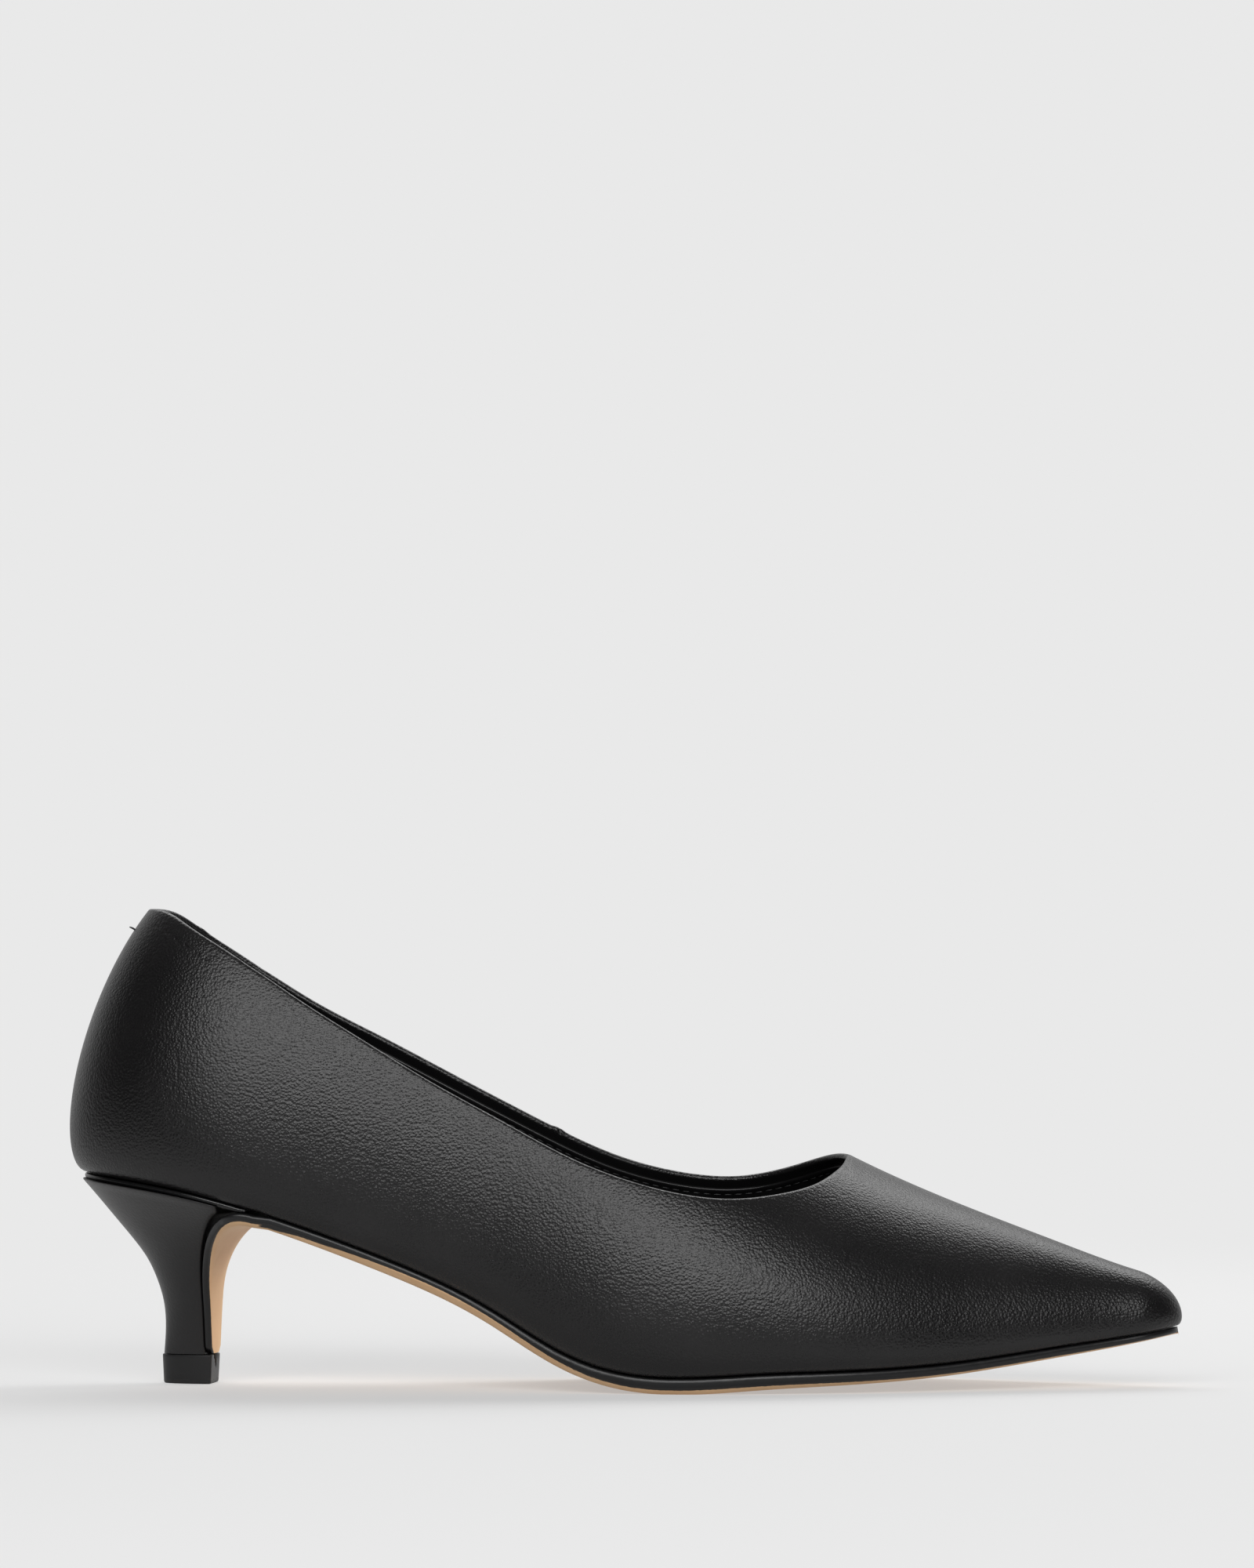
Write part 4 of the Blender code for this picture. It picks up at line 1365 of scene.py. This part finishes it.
    def sock(self, look: bpy.types.Material) -> bpy.types.Object:
        """Sock over the insole board, coved up against the lining at its edges."""
        last = self.last
        stations = (last.heel_ribs(30)[1:] + straight_ribs(last.heel_pivot, last.toe_pivot, 90)
                    + [(last.toe_pivot, 0.0)] + last.toe_ribs(8)[:-1])
        shares = np.linspace(0, 1, 21)[:, None]
        top = self.insole_thick - self.sock_dip + self.sock_cove * np.abs(2 * shares - 1) ** 5
        foot = self.sock_foot
        up = np.array([0.0, 0.0, 1.0])
        rim = (top[-1] + foot) / 2 * up
        rings = []
        for rib in stations:
            outer, inner = (last.feather_edge(side, rib, -self.wall - self.sock_gap) for side in Side)
            across = outer + (inner - outer) * shares
            rings.append([*(across + top * up), inner + rim, *(across + foot * up)[::-1], outer + rim])
        draft = Draft()
        draft.add_loft(np.array(rings))
        return draft.finish("sock", look, sharp_deg=60)

    def build(self) -> None:
        """Make and dress the bottom's pieces."""
        dress(self.sole(PaintedEdge("sole_leather").make()), "sole_leather", "outsole")
        dress(self.seat_band(MouldedPlastic("seat_paint", (0.008, 0.008, 0.0085), 0.2).make()),
              "seat_edge", "heel_seat")
        dress(self.sock(LiningLeather("sock_leather").make()), "sock_leather", "insole")


@dataclass
class Heel:
    """Covered heel block and its lift."""

    axes: HeelAxes
    corner: float = 1.1
    rim: float = 0.55
    block_height: float = 38.5
    sunk: float = 0.1
    flap_edge: float = 1.5
    tip_taper: float = 0.3
    notch_width: float = 3.2
    notch_depth: float = 2.0
    notch_height: float = 3.2
    tip_corner: float = 0.5
    foot_corner: float = 0.6
    levels: int = 60
    level_crowding: float = 1.1

    # Shares of the rim's radius, down from the top.
    RIM_STEPS = (0.7, 0.45, 0.25, 0.1, 0.0)
    # Height and inset of the lift's foot, and depth and inset of its top.
    LIFT_FOOT = ((0.0, 0.35), (0.12, 0.12), (0.35, 0.0))
    LIFT_RIM = ((0.12, 0.05), (0.0, 0.2))

    @staticmethod
    def outline(back: float, front: float, half: float, corner: float, count: int = 44) -> list:
        """D-shaped outline: a half ellipse at the back and a straight front with round corners."""
        middle = front - corner
        swings = np.linspace(-math.pi / 2, math.pi / 2, count + 1)
        rounded = [(middle + corner * math.sin(turn), half - corner + corner * math.cos(turn))
                   for turn in np.linspace(0, math.pi / 2, 6)[1:]]
        return ([(middle - (middle + back) * math.cos(swing), half * math.sin(swing)) for swing in swings]
                + rounded
                + [(front, (half - corner) * share) for share in (0.8, 0.5, 0.2, 0.0, -0.2, -0.5, -0.8)]
                + [(along, -across) for along, across in rounded[::-1]])

    def cover(self, look: bpy.types.Material) -> bpy.types.Object:
        """Leather-covered heel block."""
        axes, rim = self.axes, self.rim
        path = axes.breast_path(60)[::-1]
        foot = axes.tip_height + axes.gap / 2
        side = np.linspace(1.0, 0.0, self.levels, endpoint=False) ** self.level_crowding
        falls = np.append(side * (self.block_height - rim) + rim, rim * np.array(self.RIM_STEPS))
        rings = []
        for fall in falls:
            rise = 1 - fall / self.block_height
            inset = rim - math.sqrt(max(0.0, rim ** 2 - max(0.0, rim - fall) ** 2))
            back, half = (size - inset for size in axes.size(rise))

            def height(along: float, across: float) -> float:
                """Height of this ring at a place."""
                x = axes.point(along, across, 0)[0]
                return foot + (float(axes.seat_bottom(x)[0]) - self.sunk - foot) * rise

            front_z = height(axes.front, half) - axes.gap
            front = min(axes.front, float(np.interp(front_z, path[:, 1], path[:, 0]))) - self.sunk
            corner = self.corner * (self.foot_corner + (1 - self.foot_corner) * rise)
            rings.append([axes.point(along, across, height(along, across))
                          for along, across in self.outline(back, front, half, corner)])
        draft = Draft()
        draft.add_loft(np.array(rings))
        return draft.finish("heel_cover", look, sharp_deg=50)

    def lift(self, look: bpy.types.Material) -> bpy.types.Object:
        """Lift under the heel, with a V notch in its front face."""
        axes, taper, top = self.axes, self.tip_taper, self.axes.tip_height
        front = axes.breast_foot + self.flap_edge
        half = axes.tip_width / 2
        levels = [(z, taper + chamfer) for z, chamfer in self.LIFT_FOOT]
        levels += [(top * share, taper * (1 - share)) for share in np.linspace(0.12, 0.95, 12)]
        levels += [(top - fall, inset) for fall, inset in self.LIFT_RIM]
        rings = []
        for z, inset in levels:
            open_share = max(0.0, (z - (top - self.notch_height)) / self.notch_height)
            wide = max(1e-6, self.notch_width / 2 * open_share)
            outline = self.outline(axes.tip_back - inset, front - inset, half - inset, self.tip_corner)
            ring = []
            for along, across in outline:
                if along > front - inset - 1e-6:
                    along -= self.notch_depth * open_share * max(0.0, 1 - abs(across) / wide)
                ring.append(axes.point(along, across, z))
            rings.append(ring)
        draft = Draft()
        draft.add_loft(np.array(rings))
        return draft.finish("lift", look, sharp_deg=35)

    def build(self) -> None:
        """Make and dress the heel's pieces."""
        cover = PebbledLeather("heel_leather", roughness=0.36, pebble_depth_mm=0.03, wave_depth_mm=0.05,
                               wave_mm=6.0, finish=0.12).make()
        dress(self.cover(cover), "heel_cover", "heel")
        dress(self.lift(MouldedPlastic("lift_plastic").make()), "lift_plastic", "top_piece")


class Lamp(NamedTuple):
    """A rectangular soft light: places and size in metres, power in watts."""

    name: str
    place: tuple[float, float, float]
    target: tuple[float, float, float]
    size: tuple[float, float]
    power: float
    mirrored: bool


LAMPS = (
    Lamp("back", (0.12, 0.9, 1.2), (0.1, 0.0, 0.0), (1.8, 0.7), 11.0, True),
    Lamp("front", (0.1, -1.75, 1.05), (0.08, 0.0, 0.05), (2.4, 0.75), 27.0, True),
    Lamp("right", (1.3, 0.75, 0.3), (0.05, 0.0, 0.03), (0.6, 0.6), 12.0, False),
)


@dataclass
class Studio:
    """Pale seamless floor, soft light and the camera."""

    aim_x: float = 98.5
    eye_height: float = 135.1
    distance: float = 2200.0
    azimuth: float = math.radians(3.0)
    focal_px: float = 12465.0
    frame_height_px: float = 2000.0
    sensor_mm: float = 24.0
    backdrop: float = 0.815
    bounce: float = 0.42
    rear_level: float = 0.6
    top_level: float = 0.14
    front_level: float = 0.015
    paper: float = 0.88
    lit_share: float = 0.52
    lit_within: tuple[float, float] = (0.22, 0.75)
    floor_size: float = 60.0

    def camera(self) -> None:
        """Camera at the photograph's place and angle."""
        data = bpy.data.cameras.new("camera")
        data.sensor_fit = "VERTICAL"
        data.sensor_height = self.sensor_mm
        data.lens = self.focal_px * self.sensor_mm / self.frame_height_px
        data.clip_end = 100.0
        camera = link(bpy.data.objects.new("camera", data))
        camera.location = Vector((self.aim_x + self.distance * math.sin(self.azimuth),
                                  -self.distance * math.cos(self.azimuth), self.eye_height)) * MM
        camera.rotation_euler = (math.pi / 2, 0.0, self.azimuth)
        bpy.context.scene.camera = camera

    @staticmethod
    def seen(graph: Graph) -> Signal:
        """1 where the camera looks straight at the surface, 0 in light that bounces."""
        return graph.signal("ShaderNodeLightPath", output="Is Camera Ray")

    def world(self) -> None:
        """Even pale surroundings, darker on the camera's side where no light stands."""
        world = bpy.data.worlds.new("studio")
        world.use_nodes = True
        graph = Graph(world.node_tree)
        ground = world.node_tree.nodes["Background"]
        _, y, z = graph.axes(graph.node("ShaderNodeTexCoord").outputs["Generated"])
        behind = graph.step(y, 0.15, 0.75)
        above = graph.step(z, 0.35, 0.9)
        level = behind * self.rear_level + (1 - behind) * (above * self.top_level + self.front_level)
        seen = self.seen(graph)
        graph.feed(ground.inputs["Strength"], level * (1 - seen) + seen * self.backdrop)
        graph.feed(ground.inputs["Color"], (1.0, 1.0, 1.0))
        bpy.context.scene.world = world

    def lights(self) -> None:
        """The soft lights, each turned to its target; one that is not mirrored shows in no shine."""
        for spec in LAMPS:
            data = bpy.data.lights.new(spec.name, "AREA")
            data.shape = "RECTANGLE"
            data.size, data.size_y = spec.size
            data.energy = spec.power
            lamp = link(bpy.data.objects.new(spec.name, data))
            lamp.location = spec.place
            lamp.visible_glossy = spec.mirrored
            lamp.rotation_euler = (Vector(spec.target) - Vector(spec.place)).to_track_quat("-Z", "Y").to_euler()

    def floor(self) -> None:
        """Seamless floor that takes only a light shadow."""
        look, graph, shader = shader_of("floor_paper")
        graph.feed(shader.inputs["Base Color"], (self.paper,) * 3)
        graph.feed(shader.inputs["Roughness"], 0.9)
        graph.feed(shader.inputs["Specular IOR Level"], 0.0)
        level = self.seen(graph) * (self.backdrop - self.bounce) + self.bounce
        glow = graph.node("ShaderNodeEmission", None, {"Color": (1.0, 1.0, 1.0), "Strength": level})
        centred = graph.node("ShaderNodeVectorMath", {"operation": "SUBTRACT"}, {
            0: graph.node("ShaderNodeTexCoord").outputs["Object"], 1: (self.aim_x * MM, 0.0, 0.0)})
        away = graph.signal("ShaderNodeVectorMath", {"operation": "LENGTH"}, {0: centred.outputs[0]}, "Value")
        share = (1 - graph.step(away, *self.lit_within)) * self.lit_share
        mix = graph.node("ShaderNodeMixShader", None, {0: share, 1: glow.outputs[0], 2: shader.outputs[0]})
        graph.feed(look.node_tree.nodes["Material Output"].inputs["Surface"], mix.outputs[0])
        half = self.floor_size / 2
        corners = [(-half, -half, 0), (half, -half, 0), (half, half, 0), (-half, half, 0)]
        mesh = bpy.data.meshes.new("floor")
        mesh.from_pydata(corners, [], [(0, 1, 2, 3)])
        mesh.materials.append(look)
        link(bpy.data.objects.new("floor", mesh))

    def build(self) -> None:
        """Set up floor, surroundings, lights and camera."""
        self.camera()
        self.world()
        self.floor()
        self.lights()
        bpy.context.scene.view_settings.view_transform = "Standard"
        bpy.context.scene.view_settings.look = "None"


def main() -> None:
    """Build the dressed shoe and its studio."""
    logging.basicConfig(level=logging.INFO, format="%(name)s: %(message)s")
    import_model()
    last = Last()
    axes = HeelAxes(last)
    Upper(last).build()
    Bottom(last, axes).build()
    Heel(axes).build()
    Studio().build()


if __name__ == "__main__":
    main()
